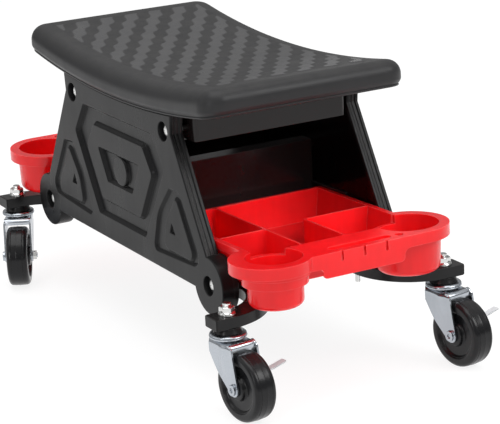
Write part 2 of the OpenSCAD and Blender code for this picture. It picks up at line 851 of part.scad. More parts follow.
module lower_panel_nuts() {
    color(zinc)
        on_both_sides(lobe_x, lobe_z, lower_nut_y)
            panel_nut(panel_bolt_r);
}

// Base shelf: a plate with two side walls, end lips that stay clear of the lower
// nuts, and a stop behind each tray
shelf_lip_half_w = lower_nut_y - nut_h - slide_gap;
stop_w = 40;
stop_t = 6;
stop_overlap = 6;
stop_face_x = tray_back_x + tray_wall + (tray_depth - stop_overlap) * sin(tray_tilt) - slide_gap;
stop_top_z = tray_back_z - tray_depth + stop_overlap;

module base_shelf() {
    color(gloss_black)
        difference() {
            union() {
                block(-shelf_half_len, -shelf_half_w, shelf_z, shelf_half_len, shelf_half_w, shelf_top_z);
                for (side = [0, 1])
                    mirror([0, side, 0])
                        block(-shelf_half_len, shelf_half_w - shelf_t, shelf_z,
                              shelf_half_len, shelf_half_w, shelf_z + shelf_side_h);
                for (side = [0, 1])
                    mirror([side, 0, 0])
                        block(shelf_half_len - shelf_t, -shelf_lip_half_w, shelf_z,
                              shelf_half_len, shelf_lip_half_w, shelf_z + 2 * shelf_t);
                for (side = [0, 1])
                    mirror([side, 0, 0])
                        block(stop_face_x - stop_t, -stop_w / 2, shelf_z,
                              stop_face_x, stop_w / 2, stop_top_z);
            }
            for (x = [-lobe_x, lobe_x])
                rod_y(x, lobe_z, panel_bolt_r + bolt_fit, -seat_w, seat_w);
            for (x = [-rail_bolt_x, rail_bolt_x])
                for (y = [-rail_y, rail_y])
                    rod_z(x, y, rail_bolt_r + bolt_fit, shelf_z - over, shelf_top_z + over);
        }
}

// Bulkhead: the wall behind the front tray, with side and bottom flanges
bulkhead_half_w = panel_in - slide_gap;

module bulkhead() {
    back_x = bulkhead_x - bulkhead_t - bulkhead_flange;
    low_z = shelf_top_z + slide_gap;
    difference() {
        union() {
            block(bulkhead_x - bulkhead_t, -bulkhead_half_w, shelf_z + shelf_side_h + slide_gap,
                  bulkhead_x, bulkhead_half_w, bulkhead_top_z);
            block(bulkhead_x - bulkhead_t, -shelf_half_w + shelf_t + slide_gap, low_z,
                  bulkhead_x, shelf_half_w - shelf_t - slide_gap, bulkhead_top_z);
            block(back_x, -shelf_half_w + shelf_t + slide_gap, low_z,
                  bulkhead_x, shelf_half_w - shelf_t - slide_gap, low_z + bulkhead_t);
            block(back_x, -bulkhead_half_w, bulkhead_top_z - bulkhead_t,
                  bulkhead_x, bulkhead_half_w, bulkhead_top_z);
            for (side = [0, 1])
                mirror([0, side, 0])
                    block(back_x, bulkhead_half_w - bulkhead_t, shelf_z + shelf_side_h + slide_gap,
                          bulkhead_x, bulkhead_half_w, bulkhead_top_z);
        }
        for (z = bulkhead_screw_zs)
            rod_y(bulkhead_screw_x, z, screw_r + bolt_fit, -seat_w, seat_w);
    }
}

module front_bulkhead() {
    color(gloss_black)
        bulkhead();
}

module rear_bulkhead() {
    color(gloss_black)
        mirror([1, 0, 0])
            bulkhead();
}

module bulkhead_screws() {
    color(zinc)
        for (side = [0, 1])
            mirror([0, side, 0])
                for (x = [-bulkhead_screw_x, bulkhead_screw_x])
                    for (z = bulkhead_screw_zs)
                        translate([x, bulkhead_half_w - bulkhead_t, z])
                            rotate([-90, 0, 0])
                                pan_screw(screw_r, bulkhead_t + slide_gap + 2 * boss_wall);
}

// Base rail: a long run, two bends and two straight ends; i thins the section
module rail_path(i, past) {
    hw = rail_w / 2 - i;
    z0 = rail_low_z + i;
    h = rail_h - 2 * i;
    block(-rail_bend_x, rail_y - hw, z0, rail_bend_x, rail_y + hw, z0 + h);
    for (side = [0, 1])
        mirror([side, 0, 0]) {
            translate([rail_bend_x, rail_bend_y, z0])
                rotate([0, 0, -90])
                    rotate_extrude(angle = 90, $fn = 2 * $fn)
                        translate([rail_bend_r - hw, 0])
                            square([2 * hw, h]);
            block(caster_x - hw, rail_bend_y - (i > 0 ? over : 0), z0,
                  caster_x + hw, caster_y + rail_end_over + past, z0 + h);
        }
}

module base_rail() {
    difference() {
        rail_path(0, 0);
        rail_path(rail_wall, over);
        for (x = [-caster_x, caster_x])
            rod_z(x, caster_y, stem_r + bolt_fit, rail_low_z - over, rail_top_z + over);
        for (x = [-rail_bolt_x, rail_bolt_x])
            rod_z(x, rail_y, rail_bolt_r + bolt_fit, rail_low_z - over, rail_top_z + over);
    }
}

module near_base_rail() {
    color(steel_black)
        mirror([0, 1, 0])
            base_rail();
}

module far_base_rail() {
    color(steel_black)
        base_rail();
}

module rail_end_caps() {
    end_y = caster_y + rail_end_over;
    plug = rail_wall + slide_gap / 2;
    color(steel_black)
        for (sy = [0, 1])
            mirror([0, sy, 0])
                for (sx = [0, 1])
                    mirror([sx, 0, 0]) {
                        translate([caster_x, end_y + cap_t, (rail_low_z + rail_top_z) / 2])
                            rotate([90, 0, 0])
                                linear_extrude(height = cap_t)
                                    polygon(rounded(rect(-rail_w / 2, -rail_h / 2, rail_w / 2, rail_h / 2),
                                                    cap_t));
                        block(caster_x - rail_w / 2 + plug, end_y - cap_plug_len, rail_low_z + plug,
                              caster_x + rail_w / 2 - plug, end_y + cap_t / 2, rail_top_z - plug);
                    }
}

// Bolts that hold the shelf on the rails
rail_nut_h = 1.6 * rail_bolt_r;
rail_bolt_tip = 10;

module at_rail_bolts(z) {
    for (x = [-rail_bolt_x, rail_bolt_x])
        for (y = [-rail_y, rail_y])
            translate([x, y, z])
                children();
}

module rail_bolts() {
    color(zinc)
        at_rail_bolts(shelf_top_z) {
            cylinder(r1 = 2 * rail_bolt_r, r2 = 1.4 * rail_bolt_r, h = 0.9 * rail_bolt_r);
            translate([0, 0, -shelf_t - rail_h - rail_nut_h - rail_bolt_tip])
                cylinder(r = rail_bolt_r, h = shelf_t + rail_h + rail_nut_h + rail_bolt_tip);
        }
}

module rail_nuts() {
    color(zinc)
        at_rail_bolts(rail_low_z - rail_nut_h)
            difference() {
                hex_z(3.3 * rail_bolt_r, rail_nut_h);
                translate([0, 0, -over])
                    cylinder(r = rail_bolt_r, h = rail_nut_h + 2 * over);
            }
}

// Casters: parts that stay with the rails
module at_stems() {
    for (s = caster_signs)
        translate([s[0] * caster_x, s[1] * caster_y, 0])
            children();
}

stem_head_z = crown_low_z - slide_gap / 2;
stem_washer_z = rail_top_z;
stem_nut_z = rail_top_z + stem_washer_t;
stem_top_z = stem_nut_z + stem_nut_h + stem_tip;

module stem_bolts() {
    color(zinc)
        at_stems() {
            rod_z(0, 0, stem_r, stem_head_z - over, stem_top_z);
            rod_z(0, 0, stem_head_r, stem_head_z - stem_head_h, stem_head_z);
        }
}

module stem_washers() {
    color(zinc)
        at_stems()
            difference() {
                rod_z(0, 0, stem_washer_r, stem_washer_z, stem_nut_z);
                rod_z(0, 0, stem_r + bolt_fit, stem_washer_z - over, stem_nut_z + over);
            }
}

module stem_nuts() {
    color(zinc)
        at_stems()
            difference() {
                union() {
                    translate([0, 0, stem_nut_z])
                        hex_z(stem_nut_af, 0.7 * stem_nut_h);
                    rod_z(0, 0, 0.46 * stem_nut_af, stem_nut_z, stem_nut_z + stem_nut_h);
                }
                rod_z(0, 0, stem_r, stem_nut_z - over, stem_top_z);
            }
}

race_low_z = crown_z + race_gap;
race_top_z = race_low_z + race_h;
ball_z = crown_z + race_gap / 2;

module ball_groove() {
    translate([0, 0, ball_z])
        rotate_extrude()
            translate([ball_ring_r, 0])
                circle(r = ball_r + ball_gap, $fn = 32);
}

module swivel_races() {
    color(zinc)
        at_stems()
            difference() {
                union() {
                    translate([0, 0, race_low_z])
                        cylinder(r1 = crown_r, r2 = crown_r, h = race_h / 2);
                    translate([0, 0, race_low_z + race_h / 2])
                        cylinder(r1 = crown_r, r2 = crown_r - race_h / 2, h = race_h / 2);
                    rod_z(0, 0, race_neck_r, race_top_z - over, rail_low_z);
                }
                ball_groove();
                rod_z(0, 0, stem_r, race_low_z - over, rail_low_z + over);
            }
}

module swivel_balls() {
    color(zinc)
        at_stems()
            for (i = [0 : ball_count - 1])
                rotate([0, 0, i * 360 / ball_count])
                    translate([ball_ring_r, 0, ball_z])
                        sphere(r = ball_r, $fn = 24);
}

// Casters: parts that swivel. Each is drawn with its stem at the origin and the
// wheel along +X, then turned to its heading
module at_caster(i) {
    translate([caster_signs[i][0] * caster_x, caster_signs[i][1] * caster_y, 0])
        rotate([0, 0, caster_headings[i]])
            children();
}

// Fork leg outline, in X and Z: a wide top that narrows to the axle's eye
leg_back_x = -12;
function leg_outline() = concat(
    [[leg_back_x, crown_z], [leg_back_x + 0.1 * eye_r, crown_z - 1.8 * eye_r],
     [leg_back_x + eye_r, crown_z - 3.1 * eye_r], [leg_back_x + 2 * eye_r, crown_z - 4.4 * eye_r]],
    [for (a = [-130 : 10 : 0]) [caster_trail + eye_r * cos(a), wheel_r + eye_r * sin(a)]],
    [[fork_front_x + 0.6 * eye_r, crown_z - 3 * eye_r], [fork_front_x, crown_z]]
);

module fork() {
    difference() {
        union() {
            intersection() {
                union() {
                    rod_z(0, 0, crown_r, crown_low_z, crown_z);
                    block(leg_back_x, -fork_half_w, crown_low_z, fork_front_x, fork_half_w, crown_z);
                }
                block(-crown_r - over, -fork_half_w, crown_low_z,
                      fork_front_x + over, fork_half_w, crown_z);
            }
            for (side = [0, 1])
                mirror([0, side, 0])
                    in_xz(fork_leg_in, fork_half_w)
                        polygon(leg_outline());
            block(fork_front_x - fork_t, -fork_half_w, crown_z - fork_skirt_h,
                  fork_front_x, fork_half_w, crown_z);
        }
        rod_y(caster_trail, wheel_r, axle_r + run_fit, -fork_half_w - over, fork_half_w + over);
        rod_z(0, 0, stem_r + run_fit, crown_low_z - over, crown_z + over);
        ball_groove();
        rod_y(caster_trail, wheel_r, wheel_r + wheel_clear,
              -wheel_w / 2 - wheel_side_clear, wheel_w / 2 + wheel_side_clear);
    }
}

// Front casters carry a lock lever between the fork and the nut
function axle_nut_y(i) = fork_half_w + (i < 2 ? 2 * lever_gap + lever_t : 0);

module axle_bolt(i) {
    rod_y(caster_trail, wheel_r, axle_r,
          -fork_half_w - axle_head_h / 4, axle_nut_y(i) + axle_nut_h + axle_tip);
    difference() {
        rod_y(caster_trail, wheel_r, axle_head_r, -fork_half_w - axle_head_h, -fork_half_w);
        rod_y(caster_trail, wheel_r, 0.45 * axle_head_r,
              -fork_half_w - axle_head_h - over, -fork_half_w - axle_head_h / 2);
    }
}

module axle_nut(i) {
    translate([caster_trail, axle_nut_y(i), wheel_r])
        rotate([-90, 0, 0])
            difference() {
                hex_z(axle_nut_af, axle_nut_h);
                translate([0, 0, -over])
                    cylinder(r = axle_r, h = axle_nut_h + 2 * over);
            }
}

module axle_sleeve() {
    difference() {
        rod_y(caster_trail, wheel_r, sleeve_r, -fork_leg_in, fork_leg_in);
        rod_y(caster_trail, wheel_r, axle_r, -fork_leg_in - over, fork_leg_in + over);
    }
}

// Wheel section, radius and half width, from the bore outwards
wheel_edge_r = 5;
web_half_w = 6;
rim_in_r = 27;
hub_edge = 1.5;
web_slope = 1;
rim_slope = 2;
tread_line = 0.4;
function wheel_half_section() = [
    [sleeve_r + run_fit, hub_half_w],
    [hub_r - hub_edge, hub_half_w],
    [hub_r, hub_half_w - hub_edge],
    [hub_r + web_slope, web_half_w],
    [rim_in_r - web_slope, web_half_w],
    [rim_in_r, wheel_w / 2 - rim_slope / 2],
    [rim_in_r + rim_slope, wheel_w / 2]
];
function shoulder() = [
    for (a = [90 : -15 : 15])
        [wheel_r - tread_line - wheel_edge_r * (1 - cos(a)), wheel_w / 2 - wheel_edge_r * (1 - sin(a))]
];
function wheel_side() = concat(wheel_half_section(), shoulder(),
                               [[wheel_r - tread_line, tread_line * 2], [wheel_r, tread_line]]);

module wheel() {
    side = wheel_side();
    translate([caster_trail, 0, wheel_r])
        rotate([90, 0, 0])
            rotate_extrude($fn = 96)
                polygon(concat(side, [for (i = [len(side) - 1 : -1 : 0]) [side[i][0], -side[i][1]]]));
}

// Lock lever on the far end of the axle, with a tab that stands out sideways
module brake_lever() {
    y0 = fork_half_w + lever_gap;
    translate([caster_trail, 0, wheel_r])
        rotate([0, -lever_angle, 0])
            difference() {
                union() {
                    rod_y(0, 0, lever_eye_r, y0, y0 + lever_t);
                    block(0, y0, -lever_eye_r, lever_reach, y0 + lever_t, lever_eye_r);
                    translate([lever_reach, y0 + lever_t / 2, 0])
                        rotate([0, lever_angle, 0])
                            rotate([lever_tab_rise, 0, 0])
                                block(-lever_tab_w / 2, 0, -lever_tab_t / 2,
                                      lever_tab_w / 2, lever_tab_len, lever_tab_t / 2);
                }
                rod_y(0, 0, axle_r + run_fit, y0 - over, y0 + lever_t + over);
            }
}

// Trays, drawn in the front tray's own frame
module tray_plan(i, z0, z1) {
    block(i, -tray_w / 2 + i, z0, tray_well_len + cup_land, tray_w / 2 - i, z1);
    rod_z(wide_cup_x, wide_cup_y, wide_cup_rim_r - i, z0, z1);
    rod_z(step_cup_x, -step_cup_y, step_cup_rim_r - i, z0, z1);
    block(tray_well_len, -step_cup_y, z0, tray_len - i, wide_cup_y, z1);
}

function tray_half_w(z, i) = tray_body_w / 2 - i + z * tray_draft / tray_depth;

// Block of the compartments with tapering long sides; i thins it
module tapered(i, x0, x1, z0, z1) {
    translate([x0, 0, 0])
        rotate([90, 0, 90])
            linear_extrude(height = x1 - x0)
                polygon([[-tray_half_w(z0, i), z0], [tray_half_w(z0, i), z0],
                         [tray_half_w(z1, i), z1], [-tray_half_w(z1, i), z1]]);
}

module well(x0, y0, x1, y1) {
    difference() {
        translate([0, 0, -tray_depth + tray_wall])
            linear_extrude(height = tray_depth)
                polygon(rounded(rect(x0, y0, x1, y1), well_corner_r));
        rod_z(wide_cup_x, wide_cup_y, wide_cup_r + lip_t, -tray_depth, over * 2);
        rod_z(step_cup_x, -step_well_y, step_cup_r + lip_t, -tray_depth, over * 2);
    }
}

// Tapered cup with a rounded bottom edge
module cup(x, y, r, draft, round, low, high) {
    translate([x, y, 0])
        rotate_extrude()
            polygon(concat([[0, low]],
                           corner_arc([0, low], [r - draft, low], [r, 0], round),
                           [[r, high], [0, high]]));
}

// The part of a cup's wall above its lip, where it stands in the compartments
module lip_cut(x, y, r, drop) {
    hw = tray_body_w / 2 - tray_wall / 2;
    intersection() {
        rod_z(x, y, r + lip_t, -drop, over);
        block(x - 2 * r, -hw, -tray_depth, tray_well_len - tray_wall / 2, hw, 2 * over);
    }
}

module tray_wells() {
    x0 = 2 * tray_wall;
    x1 = tray_well_len - tray_wall;
    hw = tray_body_w / 2 - tray_wall / 2;
    d = divider_t / 2;
    intersection() {
        tapered(tray_wall, 0, tray_well_len, -tray_depth, over);
        union() {
            well(x0, -hw, near_divider_x - d, long_divider_y - d);
            well(near_divider_x + d, -hw, x1, long_divider_y - d);
            well(x0, long_divider_y + d, far_divider_x - d, hw);
            well(far_divider_x + d, far_divider_y + d, x1, hw);
            well(far_divider_x - 2 * well_corner_r, long_divider_y + d, x1, far_divider_y - d);
        }
    }
}

module tray_body() {
    difference() {
        union() {
            // Rim plate and skirts
            tray_plan(0, -tray_rim_t, 0);
            difference() {
                tray_plan(0, -tray_skirt_h, 0);
                tray_plan(tray_wall, -tray_skirt_h - over, over);
            }
            difference() {
                union() {
                    rod_z(wide_cup_x, wide_cup_y, wide_cup_rim_r, -cup_skirt_h, 0);
                    rod_z(step_cup_x, -step_cup_y, step_cup_rim_r, -cup_skirt_h, 0);
                }
                rod_z(wide_cup_x, wide_cup_y, wide_cup_rim_r - tray_wall, -cup_skirt_h - over, over);
                rod_z(step_cup_x, -step_cup_y, step_cup_rim_r - tray_wall, -cup_skirt_h - over, over);
                block(tray_wall, -tray_w / 2 + tray_wall, -2 * cup_skirt_h,
                      tray_len - tray_wall, tray_w / 2 - tray_wall, over);
            }
            // Front plate
            translate([tray_len - tray_wall, 0, 0])
                rotate([90, 0, 90])
                    linear_extrude(height = tray_wall)
                        polygon(plate_outline());
            // Compartments and cups
            tapered(0, tray_wall, tray_well_len, -tray_depth, 0);
            cup(wide_cup_x, wide_cup_y, wide_cup_r, cup_draft, cup_round, -cup_depth, 0);
            rod_z(step_cup_x, -step_well_y, step_cup_r, step_z, 0);
            rod_z(step_cup_x, -step_well_y, step_cup_r + collar_out, collar_z, 0);
            cup(step_cup_x, -step_well_y, step_cup_low_r, step_draft, cup_round, -cup_depth, 0);
            // Backing of the tool channel
            translate([channel_x, 0, -channel_d - tray_rim_t])
                linear_extrude(height = channel_d + tray_rim_t)
                    polygon(rounded(
                        rect(-channel_w / 2 - tray_wall, channel_y0 - tray_wall,
                             channel_w / 2 + tray_wall, channel_y1 + tray_wall),
                        channel_w / 2));
        }
        tray_wells();
        cup(wide_cup_x, wide_cup_y, wide_cup_r - tray_wall, cup_draft, cup_round - tray_wall,
            tray_wall - cup_depth, over);
        rod_z(step_cup_x, -step_well_y, step_cup_r - 2 * tray_wall, step_z + tray_wall, over);
        cup(step_cup_x, -step_well_y, step_cup_low_r - tray_wall, step_draft, cup_round - tray_wall,
            tray_wall - cup_depth, over);
        lip_cut(wide_cup_x, wide_cup_y, wide_cup_r, wide_lip_drop);
        lip_cut(step_cup_x, -step_well_y, step_cup_r, step_lip_drop);
        translate([channel_x, 0, -channel_d])
            linear_extrude(height = channel_d + over)
                polygon(rounded(rect(-channel_w / 2, channel_y0, channel_w / 2, channel_y1),
                                channel_w / 2.2));
        rod_z(tool_hole_x, tool_hole_y, tool_hole_r, -channel_d - tray_rim_t - over, over);
        for (i = [0 : slot_count - 1])
            translate([tray_len, slot_first_y + i * slot_pitch, slot_w / 2 - slot_h])
                rotate([0, 90, 0]) {
                    translate([0, 0, -tray_wall - over])
                        cylinder(r = slot_w / 2, h = tray_wall + 2 * over, $fn = 24);
                    block(-slot_h, -slot_w / 2, -tray_wall - over, 0, slot_w / 2, over);
                }
    }
}

module tray() {
    translate([tray_back_x, 0, tray_back_z])
        rotate([0, -tray_tilt, 0])
            tray_body();
}

module front_tray() {
    color(tray_red)
        tray();
}

module rear_tray() {
    color(tray_red)
        rotate([0, 0, 180])
            tray();
}

module caster_fork(i) {
    color(zinc)
        at_caster(i)
            fork();
}

module caster_axle_bolt(i) {
    color(zinc)
        at_caster(i)
            axle_bolt(i);
}

module caster_axle_nut(i) {
    color(zinc)
        at_caster(i)
            axle_nut(i);
}

module caster_axle_sleeve(i) {
    color(zinc)
        at_caster(i)
            axle_sleeve();
}

module caster_wheel(i) {
    color(wheel_black)
        at_caster(i)
            wheel();
}

module caster_brake_lever(i) {
    color(zinc)
        at_caster(i)
            brake_lever();
}

seat();
seat_box();
seat_screws();
near_side_panel();
far_side_panel();
near_panel_liner();
far_panel_liner();
upper_panel_bolts();
upper_panel_nuts();
lower_panel_bolts();
lower_panel_nuts();
base_shelf();
front_bulkhead();
rear_bulkhead();
bulkhead_screws();
near_base_rail();
far_base_rail();
rail_end_caps();
rail_bolts();
rail_nuts();
stem_bolts();
stem_washers();
stem_nuts();
swivel_races();
swivel_balls();
front_tray();
rear_tray();
caster_fork(0);  // near_front_fork
caster_axle_bolt(0);  // near_front_axle_bolt
caster_axle_nut(0);  // near_front_axle_nut
caster_axle_sleeve(0);  // near_front_axle_sleeve
caster_wheel(0);  // near_front_wheel
caster_brake_lever(0);  // near_front_brake_lever
caster_fork(1);  // far_front_fork
caster_axle_bolt(1);  // far_front_axle_bolt
caster_axle_nut(1);  // far_front_axle_nut
caster_axle_sleeve(1);  // far_front_axle_sleeve
caster_wheel(1);  // far_front_wheel
caster_brake_lever(1);  // far_front_brake_lever
caster_fork(2);  // near_rear_fork
caster_axle_bolt(2);  // near_rear_axle_bolt
caster_axle_nut(2);  // near_rear_axle_nut
caster_axle_sleeve(2);  // near_rear_axle_sleeve
caster_wheel(2);  // near_rear_wheel
caster_fork(3);  // far_rear_fork
caster_axle_bolt(3);  // far_rear_axle_bolt
caster_axle_nut(3);  // far_rear_axle_nut
caster_axle_sleeve(3);  // far_rear_axle_sleeve
caster_wheel(3);  // far_rear_wheel
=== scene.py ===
"""Looks of a rolling creeper seat: a saddle seat on two moulded side panels, with
a sliding tool tray at each end and four swivel casters on two bent rails.

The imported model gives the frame. The front is +X, the near side is -Y, up is +Z.
Sizes are millimetres, and meshes are written in metres.
"""

import logging
import math
from collections.abc import Callable, Iterable, Sequence
from dataclasses import dataclass
from enum import Enum

import bmesh
import bpy
from mathutils import Matrix, Vector
from mathutils.geometry import delaunay_2d_cdt, tessellate_polygon


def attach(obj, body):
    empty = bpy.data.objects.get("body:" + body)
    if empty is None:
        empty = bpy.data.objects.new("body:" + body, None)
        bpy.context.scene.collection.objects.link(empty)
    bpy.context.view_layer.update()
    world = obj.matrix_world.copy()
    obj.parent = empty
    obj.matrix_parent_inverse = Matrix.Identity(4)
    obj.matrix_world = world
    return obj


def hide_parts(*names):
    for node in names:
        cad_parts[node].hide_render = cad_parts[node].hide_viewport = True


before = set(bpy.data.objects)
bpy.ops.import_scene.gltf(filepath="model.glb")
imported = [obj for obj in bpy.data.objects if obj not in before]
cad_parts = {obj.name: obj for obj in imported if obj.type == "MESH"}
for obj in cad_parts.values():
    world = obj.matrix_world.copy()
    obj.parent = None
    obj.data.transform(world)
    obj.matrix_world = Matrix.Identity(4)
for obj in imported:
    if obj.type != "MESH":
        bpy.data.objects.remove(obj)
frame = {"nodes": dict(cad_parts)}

LOG = logging.getLogger("creeper_seat")
MM = 0.001
BEVEL_SAMPLES = 4
Point2 = tuple[float, float]
Point3 = tuple[float, float, float]
Socket = bpy.types.NodeSocket
Material = bpy.types.Material


class Side(Enum):
    """Side of the seat, with the sign of its Y."""

    NEAR = -1
    FAR = 1


class End(Enum):
    """End of the seat, with the sign of its X."""

    FRONT = 1
    REAR = -1


class Slot(Enum):
    """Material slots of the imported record."""

    SEAT = "seat_plastic"
    PANEL = "panel_plastic"
    GLOSS = "gloss_black_plastic"
    STEEL = "black_steel"
    CAP = "cap_plastic"
    RED = "red_plastic"
    ZINC = "zinc_plate"
    FASTENER = "bright_fastener"
    RUBBER = "wheel_rubber"


# Node trees


class Tree:
    """Short ways to add and join nodes in one node tree."""

    def __init__(self, nodes: bpy.types.NodeTree) -> None:
        """Starts on an emptied tree."""
        self.nodes = nodes
        nodes.nodes.clear()

    def add(self, kind: str, **settings: object) -> bpy.types.Node:
        """Adds a node.

        Args:
            kind: the node's type, without its ShaderNode prefix.
            settings: properties of the node, or values or sources of its inputs
                where the name starts with in_.

        Returns:
            The new node.
        """
        node = self.nodes.nodes.new("ShaderNode" + kind)
        for key, value in settings.items():
            if key.startswith("in_"):
                self.join(value, node.inputs[key[3:].replace("_", " ")])
            else:
                setattr(node, key, value)
        return node

    def join(self, source: Socket | float | Sequence[float], target: Socket) -> None:
        """Joins an output to an input, or sets the input to a value.

        Args:
            source: the output, or the value.
            target: the input.
        """
        if isinstance(source, Socket):
            self.nodes.links.new(source, target)
        else:
            target.default_value = source

    def math(self, operation: str, first: Socket | float, second: Socket | float,
             clamp: bool = False) -> Socket:
        """Adds a Math node.

        Args:
            operation: Blender's name of the operation.
            first: the first operand.
            second: the second operand.
            clamp: whether the result is kept from 0 to 1.

        Returns:
            The result's socket.
        """
        node = self.add("Math", operation=operation, use_clamp=clamp)
        self.join(first, node.inputs[0])
        self.join(second, node.inputs[1])
        return node.outputs[0]

    def blend(self, first: Socket, second: Socket, share: Socket) -> Socket:
        """Blends two values.

        Args:
            first: the value at a share of 0.
            second: the value at a share of 1.
            share: share of the second value.

        Returns:
            The result's socket.
        """
        kept = self.math("MULTIPLY", first, self.math("SUBTRACT", 1.0, share))
        return self.math("ADD", kept, self.math("MULTIPLY", second, share))

    def mix(self, share: Socket, low: Sequence[float] | Socket, high: Sequence[float] | Socket) -> Socket:
        """Blends two colours by a mask.

        Args:
            share: mask from 0 to 1.
            low: colour at 0.
            high: colour at 1.

        Returns:
            The colour's socket.
        """
        node = self.add("Mix", data_type="RGBA", in_Factor=share)
        for value, name in ((low, "A"), (high, "B")):
            socket = next(s for s in node.inputs if s.name == name and s.type == "RGBA")
            self.join(value if isinstance(value, Socket) else (*value, 1.0), socket)
        return next(s for s in node.outputs if s.type == "RGBA")

    def remap(self, value: Socket, low: float, high: float,
              to_low: float = 0.0, to_high: float = 1.0) -> Socket:
        """Maps a range onto another, clamped.

        Args:
            value: the value to map.
            low: start of its range.
            high: end of its range.
            to_low: result at the start.
            to_high: result at the end.

        Returns:
            The result's socket.
        """
        node = self.add("MapRange", clamp=True, in_Value=value, in_From_Min=low, in_From_Max=high,
                        in_To_Min=to_low, in_To_Max=to_high)
        return node.outputs["Result"]

    def place(self) -> Socket:
        """Adds the object's own coordinates."""
        return self.add("TexCoord").outputs["Object"]

    def noise(self, **settings: object) -> Socket:
        """Adds a noise in the object's own coordinates and gives its factor."""
        return self.add("TexNoise", in_Vector=self.place(), **settings).outputs["Fac"]


def new_material(name: str, **settings: object) -> tuple[Material, Tree, bpy.types.Node]:
    """Makes a material of one Principled shader.

    Args:
        name: the material's name.
        settings: values of the shader's inputs, as Tree.add takes them.

    Returns:
        The material, its tree and the shader.
    """
    material = bpy.data.materials.new(name)
    material.use_nodes = True
    tree = Tree(material.node_tree)
    shader = tree.add("BsdfPrincipled", **settings)
    tree.add("OutputMaterial", in_Surface=shader.outputs[0])
    return material, tree, shader


